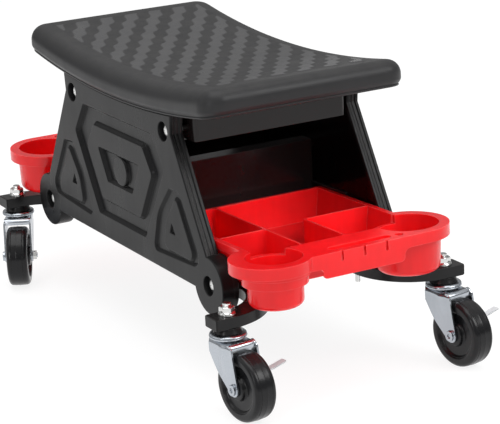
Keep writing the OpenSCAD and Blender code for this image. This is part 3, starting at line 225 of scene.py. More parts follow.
class Effects:
    """Surface effects that the finishes share, each built once as a node group.

    Attributes:
        WAVE_SHARE: scale of the grain's waves, as a share of the pebbles' scale.
        EDGE_RANGE: how well the rounded and the true normal agree, where the lightened
            edges (wear, and on some finishes a painted highlight) start and where they are full.
        BREAK_UP_RANGE: span of the noise that breaks up the lightened edges.
        UP_RANGE: how far a face looks up, where dust starts and where it is full.
        DUST_RANGE: span of the noise that breaks up the dust.
        STREAK_SCALE: streaks to the metre, along each axis.
    """

    WAVE_SHARE = 0.23
    EDGE_RANGE = (0.995, 0.85)
    BREAK_UP_RANGE = (0.42, 0.62)
    UP_RANGE = (0.35, 1.0)
    DUST_RANGE = (0.35, 0.75)
    STREAK_SCALE = (90.0, 90.0, 9.0)

    def __init__(self) -> None:
        """Builds the groups."""
        self.grain = self._grain()
        # Mask for lightened edges: wear, and on some finishes a painted highlight.
        self.wear_and_highlight = self._wear_and_highlight()
        self.dust = self._dust()
        self.smudges = self._smudges()

    @staticmethod
    def _group(name: str, inputs: dict[str, float], output: str) -> tuple[Tree, dict[str, Socket], Socket]:
        """Starts a node group with float sockets.

        Args:
            name: the group's name.
            inputs: names and default values of its inputs.
            output: name of its output.

        Returns:
            The tree, its input sockets by name and its output socket.
        """
        group = bpy.data.node_groups.new(name, "ShaderNodeTree")
        for key, value in inputs.items():
            socket = group.interface.new_socket(key, in_out="INPUT", socket_type="NodeSocketFloat")
            socket.default_value = value
        group.interface.new_socket(output, in_out="OUTPUT", socket_type="NodeSocketFloat")
        tree = Tree(group)
        entry = tree.nodes.nodes.new("NodeGroupInput")
        way_out = tree.nodes.nodes.new("NodeGroupOutput")
        return tree, {key: entry.outputs[key] for key in inputs}, way_out.inputs[output]

    def _grain(self) -> bpy.types.NodeTree:
        """Fine pebbled grain of a moulding.

        Returns:
            The group, with a Height from 0 to 1.
        """
        tree, ins, height = self._group("moulded_grain", {"Scale": 900.0, "Coarse share": 0.35}, "Height")
        pebbles = tree.add("TexVoronoi", feature="SMOOTH_F1", in_Smoothness=0.6,
                           in_Vector=tree.place(), in_Scale=ins["Scale"])
        scale = tree.math("MULTIPLY", ins["Scale"], self.WAVE_SHARE)
        waves = tree.noise(in_Scale=scale, in_Detail=3.0, in_Roughness=0.55)
        tree.join(tree.blend(pebbles.outputs["Distance"], waves, ins["Coarse share"]), height)
        return tree.nodes

    def _wear_and_highlight(self) -> bpy.types.NodeTree:
        """Edges that finishes lighten for wear and, on the panels and the red trays, for a painted highlight;
        found where a rounded normal leaves the true one.

        Returns:
            The group, with a Mask from 0 to 1.
        """
        tree, ins, mask = self._group("edge_wear_and_painted_highlight", {"Radius": 0.0012, "Break up": 0.5}, "Mask")
        soft = tree.add("Bevel", samples=BEVEL_SAMPLES, in_Radius=ins["Radius"])
        turn = tree.add("VectorMath", operation="DOT_PRODUCT")
        tree.join(soft.outputs["Normal"], turn.inputs[0])
        tree.join(tree.add("NewGeometry").outputs["Normal"], turn.inputs[1])
        edge = tree.remap(turn.outputs["Value"], *self.EDGE_RANGE)
        patchy = tree.remap(tree.noise(in_Scale=140.0, in_Detail=4.0, in_Roughness=0.65), *self.BREAK_UP_RANGE)
        kept = tree.math("SUBTRACT", 1.0, tree.math("MULTIPLY", patchy, ins["Break up"]))
        tree.join(tree.math("MULTIPLY", edge, kept), mask)
        return tree.nodes

    def _dust(self) -> bpy.types.NodeTree:
        """Light dust that settles on faces that look up.

        Returns:
            The group, with a Mask from 0 to 1.
        """
        tree, ins, mask = self._group("settled_dust", {"Amount": 0.3, "Scale": 60.0}, "Mask")
        up = tree.add("SeparateXYZ", in_Vector=tree.add("NewGeometry").outputs["Normal"])
        flat = tree.remap(up.outputs["Z"], *self.UP_RANGE)
        patches = tree.noise(in_Scale=ins["Scale"], in_Detail=5.0, in_Roughness=0.7)
        patchy = tree.math("MULTIPLY", flat, tree.remap(patches, *self.DUST_RANGE))
        tree.join(tree.math("MULTIPLY", patchy, ins["Amount"]), mask)
        return tree.nodes

    def _smudges(self) -> bpy.types.NodeTree:
        """Soft marks of handling and moulding flow that change the gloss.

        Returns:
            The group, with a Value from 0 to 1 round one half.
        """
        tree, ins, value = self._group("smudges", {"Scale": 14.0, "Streaks": 0.4}, "Value")
        clouds = tree.noise(in_Scale=ins["Scale"], in_Detail=3.0, in_Roughness=0.5, in_Distortion=0.6)
        stretch = tree.add("Mapping", in_Scale=self.STREAK_SCALE, in_Vector=tree.place())
        streaks = tree.add("TexNoise", in_Scale=1.0, in_Detail=2.0, in_Vector=stretch.outputs[0])
        tree.join(tree.blend(clouds, streaks.outputs["Fac"], ins["Streaks"]), value)
        return tree.nodes


@dataclass(frozen=True)
class Finish:
    """One surface finish.

    Attributes:
        slot: the record's slot that it stands for.
        colour: linear base colour.
        wear_and_highlight_colour: linear colour of lightened edges: wear on most finishes, and on the panels
            and the red trays mostly a painted highlight.
        roughness: lowest and highest roughness.
        wear_and_highlight: share of that colour on edges.
        metallic: 1 for bare metal.
        specular: specular level.
        grain_scale: grains to the metre.
        grain_depth: depth of the grain, in millimetres.
        edge_round: radius that the shader gives to sharp edges, in millimetres.
        dust: share of dust on faces that look up.
        coat: weight of a clear coat.
        coat_roughness: roughness of the coat.
        depth: how far light spreads inside the plastic, in millimetres, where it does.
        DUST_COLOUR: linear colour of dust.
        DUST_ROUGHNESS: roughness that full dust adds.
        SMUDGE_RANGE: span of the smudges that the roughness and the colour follow.
        TINTS: darkest and lightest share of the base colour.
        INNER_WEIGHT: weight of the light that spreads inside.
        INNER_RADIUS: how far its red, green and blue spread, as shares of the depth.
    """

    slot: Slot
    colour: Point3
    wear_and_highlight_colour: Point3
    roughness: tuple[float, float]
    wear_and_highlight: float
    metallic: float = 0.0
    specular: float = 0.5
    grain_scale: float = 900.0
    grain_depth: float = 0.03
    edge_round: float = 0.5
    dust: float = 0.0
    coat: float = 0.0
    coat_roughness: float = 0.1
    depth: float = 0.0
    DUST_COLOUR = (0.30, 0.28, 0.26)
    DUST_ROUGHNESS = 0.5
    SMUDGE_RANGE = (0.35, 0.65)
    TINTS = (0.93, 1.07)
    INNER_WEIGHT = 0.7
    INNER_RADIUS = (1.0, 0.15, 0.15)

    def build(self, effects: Effects, base: Callable[[Tree], tuple[Socket, Socket]] | None = None,
              name: str = "") -> Material:
        """Makes the material.

        Args:
            effects: the shared node groups.
            base: makes a base colour and a roughness offset in the tree, where
                the finish has a pattern of its own.
            name: the material's name, if it isn't the slot's.

        Returns:
            The material.
        """
        settings = {"in_Metallic": self.metallic, "in_Specular_IOR_Level": self.specular,
                    "in_Coat_Roughness": self.coat_roughness, "in_Coat_Weight": self.coat}
        if self.depth:
            settings["in_Subsurface_Weight"] = self.INNER_WEIGHT
            settings["in_Subsurface_Radius"] = self.INNER_RADIUS
            settings["in_Subsurface_Scale"] = self.depth * MM
        material, tree, shader = new_material(name or self.slot.value, **settings)
        smudges = tree.add("Group", node_tree=effects.smudges).outputs["Value"]
        rough = tree.remap(smudges, *self.SMUDGE_RANGE, *self.roughness)
        if base is None:
            tints = [tuple(min(1.0, t * c) for c in self.colour) for t in self.TINTS]
            colour = tree.mix(tree.remap(smudges, *self.SMUDGE_RANGE), *tints)
        else:
            colour, offset = base(tree)
            rough = tree.math("ADD", rough, offset, clamp=True)
        # Lightened edges: wear on most finishes; on the panels and the red trays mostly a painted highlight
        # along edges and rims.
        lightened_edges = tree.add("Group", node_tree=effects.wear_and_highlight).outputs["Mask"]
        colour = tree.mix(tree.math("MULTIPLY", lightened_edges, self.wear_and_highlight), colour, self.wear_and_highlight_colour)
        if self.dust:
            dust = tree.add("Group", node_tree=effects.dust, in_Amount=self.dust).outputs["Mask"]
            colour = tree.mix(dust, colour, self.DUST_COLOUR)
            rough = tree.math("ADD", rough, tree.math("MULTIPLY", dust, self.DUST_ROUGHNESS), clamp=True)
        tree.join(colour, shader.inputs["Base Color"])
        tree.join(rough, shader.inputs["Roughness"])
        tree.join(self._normal(tree, effects), shader.inputs["Normal"])
        return material

    def _normal(self, tree: Tree, effects: Effects) -> Socket:
        """Rounds sharp edges and adds the grain.

        Args:
            tree: the material's tree.
            effects: the shared node groups.

        Returns:
            The normal's socket.
        """
        grain = tree.add("Group", node_tree=effects.grain, in_Scale=self.grain_scale)
        soft = tree.add("Bevel", samples=BEVEL_SAMPLES, in_Radius=self.edge_round * MM)
        bump = tree.add("Bump", in_Strength=1.0, in_Distance=self.grain_depth * MM,
                        in_Height=grain.outputs["Height"], in_Normal=soft.outputs["Normal"])
        return bump.outputs["Normal"]


SEAT_FINISH = Finish(Slot.SEAT, (0.026, 0.026, 0.027), (0.08, 0.08, 0.08), (0.34, 0.44), 0.12, specular=0.2,
                     grain_scale=1300, grain_depth=0.05, edge_round=0.3, dust=0.05)
BOLT_FINISH = Finish(Slot.FASTENER, (0.80, 0.80, 0.79), (0.90, 0.90, 0.90), (0.22, 0.34), 0.2,
                     metallic=0.4, grain_depth=0.01, edge_round=0.3)
LEVER_FINISH = Finish(Slot.ZINC, (0.72, 0.74, 0.76), (0.85, 0.86, 0.88), (0.34, 0.46), 0.3,
                      metallic=0.1, grain_scale=260, grain_depth=0.02, edge_round=0.3)
FINISHES = (
    SEAT_FINISH,
    # Panel edge colour 0.13 at share 0.4: mostly a painted highlight along the edges and the relief, over a
    # little wear.
    Finish(Slot.PANEL, (0.008, 0.008, 0.0085), (0.13, 0.13, 0.13), (0.26, 0.36), 0.4, specular=0.15,
           grain_scale=1500, edge_round=0.6, dust=0.02),
    Finish(Slot.GLOSS, (0.010, 0.0075, 0.0075), (0.05, 0.05, 0.05), (0.14, 0.24), 0.2, specular=0.3,
           grain_scale=500, grain_depth=0.01, edge_round=0.8, dust=0.04),
    Finish(Slot.STEEL, (0.008, 0.008, 0.0085), (0.08, 0.08, 0.08), (0.18, 0.28), 0.2, specular=0.25,
           grain_scale=700, edge_round=1.0, dust=0.05),
    Finish(Slot.CAP, (0.009, 0.009, 0.0095), (0.06, 0.06, 0.06), (0.34, 0.44), 0.2, specular=0.2,
           grain_scale=1600, dust=0.1),
    # Red edge colour at share 0.4: mostly a painted highlight along the rims and ridges, over a little wear.
    Finish(Slot.RED, (0.80, 0.010, 0.013), (0.92, 0.26, 0.26), (0.18, 0.26), 0.4, specular=0.3,
           grain_scale=420, grain_depth=0.010, coat=0.12, coat_roughness=0.08, depth=9.0),
    Finish(Slot.ZINC, (0.46, 0.49, 0.53), (0.72, 0.75, 0.78), (0.17, 0.30), 0.3, metallic=1.0,
           grain_scale=260, grain_depth=0.02),
    Finish(Slot.FASTENER, (0.66, 0.66, 0.65), (0.85, 0.85, 0.85), (0.10, 0.20), 0.2, metallic=1.0,
           grain_depth=0.01, edge_round=0.3),
    Finish(Slot.RUBBER, (0.009, 0.009, 0.010), (0.05, 0.05, 0.05), (0.18, 0.28), 0.15, specular=0.26,
           grain_scale=600, edge_round=0.4, dust=0.03),
)


class Materials:
    """Every material of the scene, by slot.

    Attributes:
        RAISED_COLOUR: linear colour of the seat's raised cells.
        RAISED_OFFSET: what the roughness gains between the cells and on them.
    """

    RAISED_COLOUR = (0.060, 0.060, 0.062)
    RAISED_OFFSET = (0.06, -0.08)

    def __init__(self) -> None:
        """Builds the shared effects and the finishes."""
        effects = Effects()
        self.by_slot = {finish.slot: finish.build(effects) for finish in FINISHES}
        self.bolt = BOLT_FINISH.build(effects, name="bolt_zinc")
        self.lever = LEVER_FINISH.build(effects, name="lever_zinc")
        self.seat_top = SEAT_FINISH.build(effects, self._seat_pattern, "seat_top_plastic")

    def _seat_pattern(self, tree: Tree) -> tuple[Socket, Socket]:
        """Colours the raised cells of the seat's top by the mesh's relief mask.

        Args:
            tree: the material's tree.

        Returns:
            The base colour and the offset of the roughness.
        """
        mask = tree.add("Attribute", attribute_name=Seat.MASK).outputs["Fac"]
        colour = tree.mix(mask, SEAT_FINISH.colour, self.RAISED_COLOUR)
        return colour, tree.remap(mask, 0.0, 1.0, *self.RAISED_OFFSET)

    def __getitem__(self, slot: Slot) -> Material:
        """Gives the material of a slot."""
        return self.by_slot[slot]


# Meshes


class Draft:
    """Vertices and faces of one piece, in millimetres."""

    MERGE = 0.002

    def __init__(self) -> None:
        """Starts empty."""
        self.points: list[Point3] = []
        self.faces: list[tuple[int, ...]] = []

    def loop(self, points: Iterable[Point3]) -> list[int]:
        """Adds points in order.

        Args:
            points: the points.

        Returns:
            Their indices.
        """
        start = len(self.points)
        self.points.extend(points)
        return list(range(start, len(self.points)))

    def rings(self, loops: Sequence[Sequence[int]], closed: bool = True) -> None:
        """Joins each loop to the next one with quads.

        Args:
            loops: loops of equal length.
            closed: whether each loop closes on itself.
        """
        count = len(loops[0])
        for low, high in zip(loops, loops[1:]):
            for i in range(count if closed else count - 1):
                j = (i + 1) % count
                self.faces.append((low[i], low[j], high[j], high[i]))

    def tube(self, loops: Sequence[Sequence[int]]) -> None:
        """Joins the loops and closes each end with one face."""
        self.rings(loops)
        self.faces += [tuple(loops[0]), tuple(loops[-1])]

    def slab(self, loops: Sequence[Sequence[int]], drop: int = 1) -> None:
        """Joins the loops and fills the flat region in each end.

        Args:
            loops: loops of equal length.
            drop: the axis that the ends are seen along.
        """
        self.rings(loops)
        self.fill(loops[0], drop=drop)
        self.fill(loops[-1], drop=drop)

    def fill(self, outer: Sequence[int], holes: Sequence[Sequence[int]] = (), drop: int = 1) -> None:
        """Fills a flat region that may have holes.

        Args:
            outer: the region's loop.
            holes: the loops of its holes.
            drop: the axis that the region is seen along.
        """
        loops = [list(outer), *[list(h) for h in holes]]
        a, b = [axis for axis in range(3) if axis != drop]
        flat = [[Vector((self.points[i][a], self.points[i][b], 0.0)) for i in loop] for loop in loops]
        index = [i for loop in loops for i in loop]
        self.faces += [tuple(index[k] for k in face) for face in tessellate_polygon(flat)]

    def web(self, ring: Sequence[int], hole: Sequence[int]) -> None:
        """Fills the band between a ring and a loop inside it, seen from above.

        Args:
            ring: the outer loop.
            hole: the inner loop.
        """
        index = [*ring, *hole]
        count = len(ring)
        flat = [Vector(self.points[i][:2]) for i in index]
        edges = [(i, (i + 1) % count) for i in range(count)]
        edges += [(count + i, count + (i + 1) % len(hole)) for i in range(len(hole))]
        _, _, faces, origin, _, _ = delaunay_2d_cdt(flat, edges, [], 0, 1e-6)
        for face in faces:
            corners = [origin[k][0] for k in face]
            if min(corners) < count:
                self.faces.append(tuple(index[k] for k in corners))

    def piece(self, name: str, material: Material, sharp: float = 35.0) -> bpy.types.Object:
        """Makes the object, smooth but for its sharp edges.

        Args:
            name: the piece's name.
            material: its material.
            sharp: angle from which an edge stays sharp, in degrees.

        Returns:
            The object.
        """
        mesh = bpy.data.meshes.new(name)
        mesh.from_pydata([Vector(p) * MM for p in self.points], [], self.faces)
        mesh.validate()
        mesh.materials.append(material)
        mesh.shade_smooth()
        obj = bpy.data.objects.new(name, mesh)
        bpy.context.scene.collection.objects.link(obj)
        self._tidy(mesh)
        mesh.set_sharp_from_angle(angle=math.radians(sharp))
        flatten = obj.modifiers.new("flat faces stay flat", "WEIGHTED_NORMAL")
        flatten.keep_sharp = True
        return obj

    def _tidy(self, mesh: bpy.types.Mesh) -> None:
        """Merges points that lie together and turns all faces outwards.

        Args:
            mesh: the mesh to tidy.
        """
        work = bmesh.new()
        work.from_mesh(mesh)
        bmesh.ops.remove_doubles(work, verts=work.verts, dist=self.MERGE * MM)
        bmesh.ops.recalc_face_normals(work, faces=work.faces)
        work.to_mesh(mesh)
        work.free()


def settle(obj: bpy.types.Object, body: str, slot: Slot, *nodes: str) -> None:
    """Puts a piece on its body and hides the CAD nodes that it replaces.

    Args:
        obj: the piece, already in place.
        body: the CAD body that it rides on.
        slot: the record's slot of the piece's finish; not used.
        nodes: the CAD nodes that it replaces.
    """
    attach(obj, body)
    if nodes:
        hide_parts(*nodes)
    LOG.info("piece %s on %s", obj.name, body)


# Plane geometry


def share_of(value: float) -> float:
    """Keeps a value from 0 to 1."""
    return max(0.0, min(1.0, value))


def polar(radius: float, degrees: float) -> Point2:
    """Point at a distance from the origin and an angle from the first axis."""
    return radius * math.cos(math.radians(degrees)), radius * math.sin(math.radians(degrees))


def between(a: Point2, b: Point2, t: float) -> Point2:
    """Point at a share of the way from one point to another."""
    return a[0] + t * (b[0] - a[0]), a[1] + t * (b[1] - a[1])


def mirrored(points: Iterable[Point2]) -> list[Point2]:
    """Points on the other side of the middle, in turned order."""
    return [(-x, y) for x, y in reversed(list(points))]


def along(table: Sequence[Point2], place: float) -> float:
    """Value between the entries of a rising table, on the straight line from one to the next.

    Args:
        table: pairs of place and value.
        place: the place, which lies before the table's end.

    Returns:
        The value.
    """
    (a, low), (b, high) = next(pair for pair in zip(table, table[1:]) if place <= pair[1][0])
    return low + (high - low) * max(0.0, (place - a) / (b - a))


def circle(x: float, z: float, radius: float, count: int = 48) -> list[Point2]:
    """Points of a circle, counterclockwise."""
    turn = 2 * math.pi / count
    return [(x + radius * math.cos(i * turn), z + radius * math.sin(i * turn)) for i in range(count)]


def unit(x: float, y: float) -> Point2:
    """Scales a vector to length 1."""
    length = math.hypot(x, y)
    return x / length, y / length


def inset_corners(points: Sequence[Point2], inset: float) -> list[Point2]:
    """Moves each edge of a counterclockwise outline inwards.

    Args:
        points: the outline's corners.
        inset: how far the edges move.

    Returns:
        The new corners.
    """
    moved = []
    for a, b, c in zip([points[-1], *points], points, [*points[1:], points[0]]):
        u, w = unit(b[0] - a[0], b[1] - a[1]), unit(c[0] - b[0], c[1] - b[1])
        n, m = (-u[1], u[0]), (-w[1], w[0])
        shared = 1.0 + n[0] * m[0] + n[1] * m[1]
        moved.append((b[0] + inset * (n[0] + m[0]) / shared, b[1] + inset * (n[1] + m[1]) / shared))
    return moved


def rounded(points: Sequence[Point2], radii: Sequence[float], inset: float) -> list[Point2]:
    """Outline with arcs for corners, moved inwards.

    Args:
        points: corners, counterclockwise.
        radii: radius of each corner before the inset.
        inset: how far the outline moves inwards.

    Returns:
        The outline's points, as many for each inset.
    """
    least, steps = 0.2, 6
    corners = inset_corners(points, inset)
    outline = []
    for a, b, c, size in zip([corners[-1], *corners], corners, [*corners[1:], corners[0]], radii):
        u, w = unit(a[0] - b[0], a[1] - b[1]), unit(c[0] - b[0], c[1] - b[1])
        turn = w[0] * u[1] - w[1] * u[0]
        radius = max(least, size - inset if turn > 0 else size + inset)
        half = math.acos(max(-1.0, min(1.0, u[0] * w[0] + u[1] * w[1]))) / 2
        s = unit(u[0] + w[0], u[1] + w[1])
        x, y = b[0] + s[0] * radius / math.sin(half), b[1] + s[1] * radius / math.sin(half)
        reach = radius / math.tan(half)
        start, end = (math.atan2(b[1] + d[1] * reach - y, b[0] + d[0] * reach - x) for d in (u, w))
        sweep = (end - start + 3 * math.pi) % (2 * math.pi) - math.pi
        for k in range(steps + 1):
            angle = start + sweep * k / steps
            outline.append((x + radius * math.cos(angle), y + radius * math.sin(angle)))
    return outline


def fillet_wall(width: float, depth: float) -> list[Point2]:
    """Section of a sloping wall with a soft top and foot.

    Args:
        width: how far the wall runs inwards.
        depth: how far it goes down.

    Returns:
        Pairs of inward run and depth, from the top.
    """
    fillet, widest, steps = 2.0, 0.45, 4
    share = min(widest, fillet / math.hypot(width, depth))
    section = []
    for k in range(steps + 1):
        t = k / steps
        section.append(((share * (2 * t - t * t) * 0.5 + share * t * 0.5) * width, share * t * t * depth))
    return section + [(width - run, depth - drop) for run, drop in reversed(section)]


# Seat


@dataclass
class Saddle:
    """The seat's arc and edge, shared by what lies under it.

    Attributes:
        length: length of the seat.
        width: width of the seat.
        thickness: depth of the seat's edge.
        under_z: height of the underside at mid length.
        rise: rise of the underside to each end.
    """

    length: float = 476.0
    width: float = 254.0
    thickness: float = 31.0
    under_z: float = 288.8
    rise: float = 21.0

    @property
    def radius(self) -> float:
        """Radius of the underside's arc."""
        return ((self.length / 2) ** 2 + self.rise ** 2) / (2 * self.rise)

    @property
    def centre_z(self) -> float:
        """Height of the arc's axis."""
        return self.under_z + self.radius

    def height(self, x: float, above: float) -> float:
        """Height at a place along the seat and a distance over the underside, towards the axis."""
        return self.centre_z - math.sqrt((self.radius - above) ** 2 - x * x)


@dataclass
class Seat:
    """The moulded saddle seat, with its woven relief and a plain hollow underside.

    Attributes:
        saddle: the seat's arc.
        edge_r: radius of the top edge.
        corner_r: radius of the corners from above.
        belly_h: height of the widest line over the underside.
        tuck: how far the foot of the edge lies inside the widest line.
        bead: how far the bead at the foot stands out from it.
        wall: wall of the moulding.
        crown: extra height of the middle of the top.
        cell_x: length of a cell of the relief.
        cell_y: width of a cell of the relief.
        neck: how strongly necks join the raised cells.
        slope: share of a wave that a cell's border takes.
        relief_h: height of the raised cells.
        field_x: rear and front end of the relief.
        field_y: near and far end of the relief.
        fade: width over which the relief fades at its ends.
        grid: spacing of the relief's mesh.
        MASK: name of the relief's mask.
        CORNER_STEPS: segments of a corner.
        SIDE_STEPS: segments of a long side's and a short side's straight part.
        EDGE_STEPS: segments of the top edge's arc.
        CEILING_STEPS: segments of half the hollow's ceiling.
    """

    saddle: Saddle
    edge_r: float = 18.0
    corner_r: float = 24.0
    belly_h: float = 9.0
    tuck: float = 3.5
    bead: float = 0.9
    wall: float = 4.0
    crown: float = 2.0
    cell_x: float = 26.4
    cell_y: float = 16.8
    neck: float = 0.42
    slope: float = 0.16
    relief_h: float = 0.5
    field_x: tuple[float, float] = (-212.0, 200.0)
    field_y: tuple[float, float] = (-97.0, 103.0)
    fade: float = 2.0
    grid: float = 1.25
    MASK = "raised"
    CORNER_STEPS = 10
    SIDE_STEPS = (48, 24)
    EDGE_STEPS = 12
    CEILING_STEPS = 16

    def _plan(self, inset: float) -> list[Point2]:
        """Outline of the seat from above at an inset, with even points on its sides.

        Args:
            inset: how far inside the widest line.

        Returns:
            The outline, counterclockwise.
        """
        least = 0.5
        hl, hw = self.saddle.length / 2 - inset, self.saddle.width / 2 - inset
        r = max(least, self.corner_r - inset)
        quarters = []
        for k, (sx, sy) in enumerate(((1, 1), (-1, 1), (-1, -1), (1, -1))):
            turns = [polar(r, 90.0 * k + 90.0 * i / self.CORNER_STEPS) for i in range(self.CORNER_STEPS + 1)]
            quarters.append([(sx * (hl - r) + x, sy * (hw - r) + y) for x, y in turns])
        outline: list[Point2] = []
        for k, quarter in enumerate(quarters):
            steps = self.SIDE_STEPS[k % 2]
            outline += quarter
            outline += [between(quarter[-1], quarters[(k + 1) % 4][0], i / steps) for i in range(1, steps)]
        return outline

    def _ring(self, draft: Draft, inset: float, above: float) -> list[int]:
        """Adds a loop round the seat at an inset and a height over the underside."""
        return draft.loop((x, y, self.saddle.height(x, above)) for x, y in self._plan(inset))

    def _top_z(self, x: float, y: float, inset: float) -> float:
        """Height of the top surface without its relief.

        Args:
            x: place along the seat.
            y: place across the seat.
            inset: distance inside the widest line.

        Returns:
            The height.
        """
        z = self.saddle.height(x, self.saddle.thickness)
        if inset < self.edge_r:
            z -= self.edge_r - math.sqrt(self.edge_r ** 2 - (self.edge_r - inset) ** 2)
        u, v = 2 * x / self.saddle.length, 2 * y / self.saddle.width
        return z + self.crown * max(0.0, 1 - u * u) * max(0.0, 1 - v * v)

    def _raised(self, x: float, y: float) -> float:
        """Share of a cell's height at a place of the relief.

        Cells alternate like a chequerboard, and necks join the raised ones along
        one diagonal, so their borders zigzag.

        Args:
            x: place along the seat.
            y: place across the seat.

        Returns:
            1 on a raised cell, 0 between them.
        """
        def wave(t: float) -> float:
            return 1 - 4 * abs(t / 2 - math.floor(t / 2 + 0.5))

        u = (x + self.field_x[1]) / self.cell_x
        v = (y - self.field_y[1]) / self.cell_y
        value = wave(u) * wave(v) + self.neck * wave(u + v)
        share = share_of((value + self.slope / 2) / self.slope)
        margin = min(x - self.field_x[0], self.field_x[1] - x, y - self.field_y[0], self.field_y[1] - y)
        return share * share * (3 - 2 * share) * share_of(margin / self.fade)

    def _edge_section(self) -> list[Point2]:
        """Section of the seat's edge, from the underside to the start of the top edge.

        Returns:
            Pairs of inset and height over the underside.
        """
        foot, shrink, steps = 2.8, 0.92, 8
        section = [(self.tuck + 2.2, 0.0), (self.tuck + 1.2, 0.1), (self.tuck - 0.3, 0.5),
                   (self.tuck - self.bead, 1.3), (self.tuck - self.bead, 2.1), (self.tuck - 0.2, foot)]
        for k in range(1, steps + 1):
            t = k / steps
            inset = self.tuck * (1 - math.sin(t * math.pi / 2)) * shrink
            section.append((inset, foot + t * (self.belly_h - foot)))
        section.append((0.0, self.saddle.thickness - self.edge_r))
        return section

    def _lines(self, low: float, high: float) -> list[float]:
        """Evenly spaced places from one end to the other, about a grid step apart."""
        count = round((high - low) / self.grid)
        return [low + (high - low) * i / count for i in range(count + 1)]

    def _add_skin(self, draft: Draft) -> None:
        """Adds the edge, the plain border and the relief.

        Args:
            draft: the draft to add to.
        """
        loops = [self._ring(draft, inset, above) for inset, above in self._edge_section()]
        for k in range(1, self.EDGE_STEPS + 1):
            inset = self.edge_r * (1 - math.cos(math.radians(90 * k / self.EDGE_STEPS)))
            loops.append(draft.loop((x, y, self._top_z(x, y, inset)) for x, y in self._plan(inset)))
        draft.rings(loops)
        xs, ys = self._lines(*self.field_x), self._lines(*self.field_y)
        rows = [draft.loop((x, y, self._top_z(x, y, self.edge_r) + self.relief_h * self._raised(x, y))
                           for x in xs) for y in ys]
        draft.rings(rows, closed=False)
        border = [*rows[0], *[r[-1] for r in rows[1:-1]], *reversed(rows[-1]), *[r[0] for r in rows[-2:0:-1]]]
        draft.web(loops[-1], border)

    def _add_hollow(self, draft: Draft) -> None:
        """Adds the walls and the ceiling of the hollow under the top.

        Args:
            draft: the draft to add to.
        """
        span, wall = self.saddle.thickness, self.wall
        under = [self._ring(draft, inset, above) for inset, above in (
            (self.tuck + 2.2, 0.0), (self.tuck + wall, 0.0), (wall + 1.5, self.belly_h),
            (wall + 1.5, span - self.edge_r), (wall + 7, span - wall - 3), (self.edge_r, span - wall))]
        draft.rings(under)
        hl, hw = self.saddle.length / 2 - 2 * self.edge_r, self.saddle.width / 2 - 2 * self.edge_r
        xs = [hl * (i / self.CEILING_STEPS - 1) for i in range(2 * self.CEILING_STEPS + 1)]
        rows = [draft.loop((x, y, self.saddle.height(x, span - wall)) for x in xs) for y in (-hw, 0.0, hw)]
        draft.rings(rows, closed=False)
        draft.web(under[-1], [*rows[0], rows[1][-1], *reversed(rows[2]), rows[1][0]])

    def _paint(self, mesh: bpy.types.Mesh) -> None:
        """Writes the relief's mask and gives the relief its own material.

        Args:
            mesh: the seat's mesh.
        """
        mask = mesh.attributes.new(self.MASK, "FLOAT", "POINT")
        low = self.saddle.height(0.0, self.saddle.thickness) - 1.0
        values = []
        for v in mesh.vertices:
            x, y, z = v.co / MM
            inside = z > low + (self.saddle.height(x, 0.0) - self.saddle.under_z)
            values.append(self._raised(x, y) if inside else 0.0)
        mask.data.foreach_set("value", values)
        x0, x1, y0, y1 = (v * MM for v in (*self.field_x, *self.field_y))
        for face in mesh.polygons:
            c = face.center
            if x0 < c.x < x1 and y0 < c.y < y1 and face.normal.z > 0.5 and c.z > low * MM:
                face.material_index = 1

    def build(self, materials: Materials) -> None:
        """Builds the seat and puts it on the body.

        Args:
            materials: the scene's materials.
        """
        draft = Draft()
        self._add_skin(draft)
        self._add_hollow(draft)
        shell = draft.piece("seat_shell", materials[Slot.SEAT], sharp=40.0)
        shell.data.materials.append(materials.seat_top)
        self._paint(shell.data)
        settle(shell, "frame", Slot.SEAT, "seat")


# Side panels


@dataclass
class PanelSizes:
    """Sizes of a side panel.

    Attributes:
        y: distance of the outer face from the centre line.
        depth: depth of the panel.
        foot_z: height of the bottom edge.
        slope_x: half length where the sloping edge would meet the floor.
        slope: inward run of that edge for each unit of height.
        turn_z: height where the sloping edge turns upright.
        flare: outward run of the upright edge.
        high_z: height where the upright edge is measured to.
        seat_gap: gap to the seat.
        lobe_r: radius of the round feet.
        lobe_t: thickness of the round feet.
        lobe_x: place of the round feet.
        lobe_z: height of the round feet's centres.
        lobe_gap: gap between a foot's inner part and the panel's edge round it.
        top_bolt_x: place of the upper bolts.
        top_bolt_z: height of the upper bolts.
        counterbore_r: radius of the counterbores.
        counterbore_d: depth of the counterbores.
        groove_d: depth of the groove in the edge.
        fillet: radius of the outer edges.
        relief_d: depth of the relief.
        relief_w: width of the relief's sloping walls.
        triangle_d: depth of the triangles' relief.
        disc_r: radius of the disc in the middle.
        disc_share: height of the disc, as a share of that from the foot to the turn.
    """

    y: float = 121.5
    depth: float = 16.0
    foot_z: float = 109.5
    slope_x: float = 295.75
    slope: float = 0.577
    turn_z: float = 273.0
    flare: float = 3.5
    high_z: float = 309.8
    seat_gap: float = 0.6
    lobe_r: float = 33.0
    lobe_t: float = 20.5
    lobe_x: float = 210.3
    lobe_z: float = 118.7
    lobe_gap: float = 0.05
    top_bolt_x: float = 119.8
    top_bolt_z: float = 273.7
    counterbore_r: float = 11.0
    counterbore_d: float = 8.0
    groove_d: float = 1.6
    fillet: float = 1.4
    relief_d: float = 5.0
    relief_w: float = 5.0
    triangle_d: float = 3.2
    disc_r: float = 18.0
    disc_share: float = 0.56


@dataclass(frozen=True)
class Relief:
    """A relief outline on a side panel.

    Attributes:
        shares: share of the half length at that height, and of the height from
            the foot to the turn, of each corner.
        radii: radius of each corner.
        middle: whether the outline crosses the middle and repeats mirrored.
    """

    shares: tuple[Point2, ...]
    radii: tuple[float, ...]
    middle: bool = False


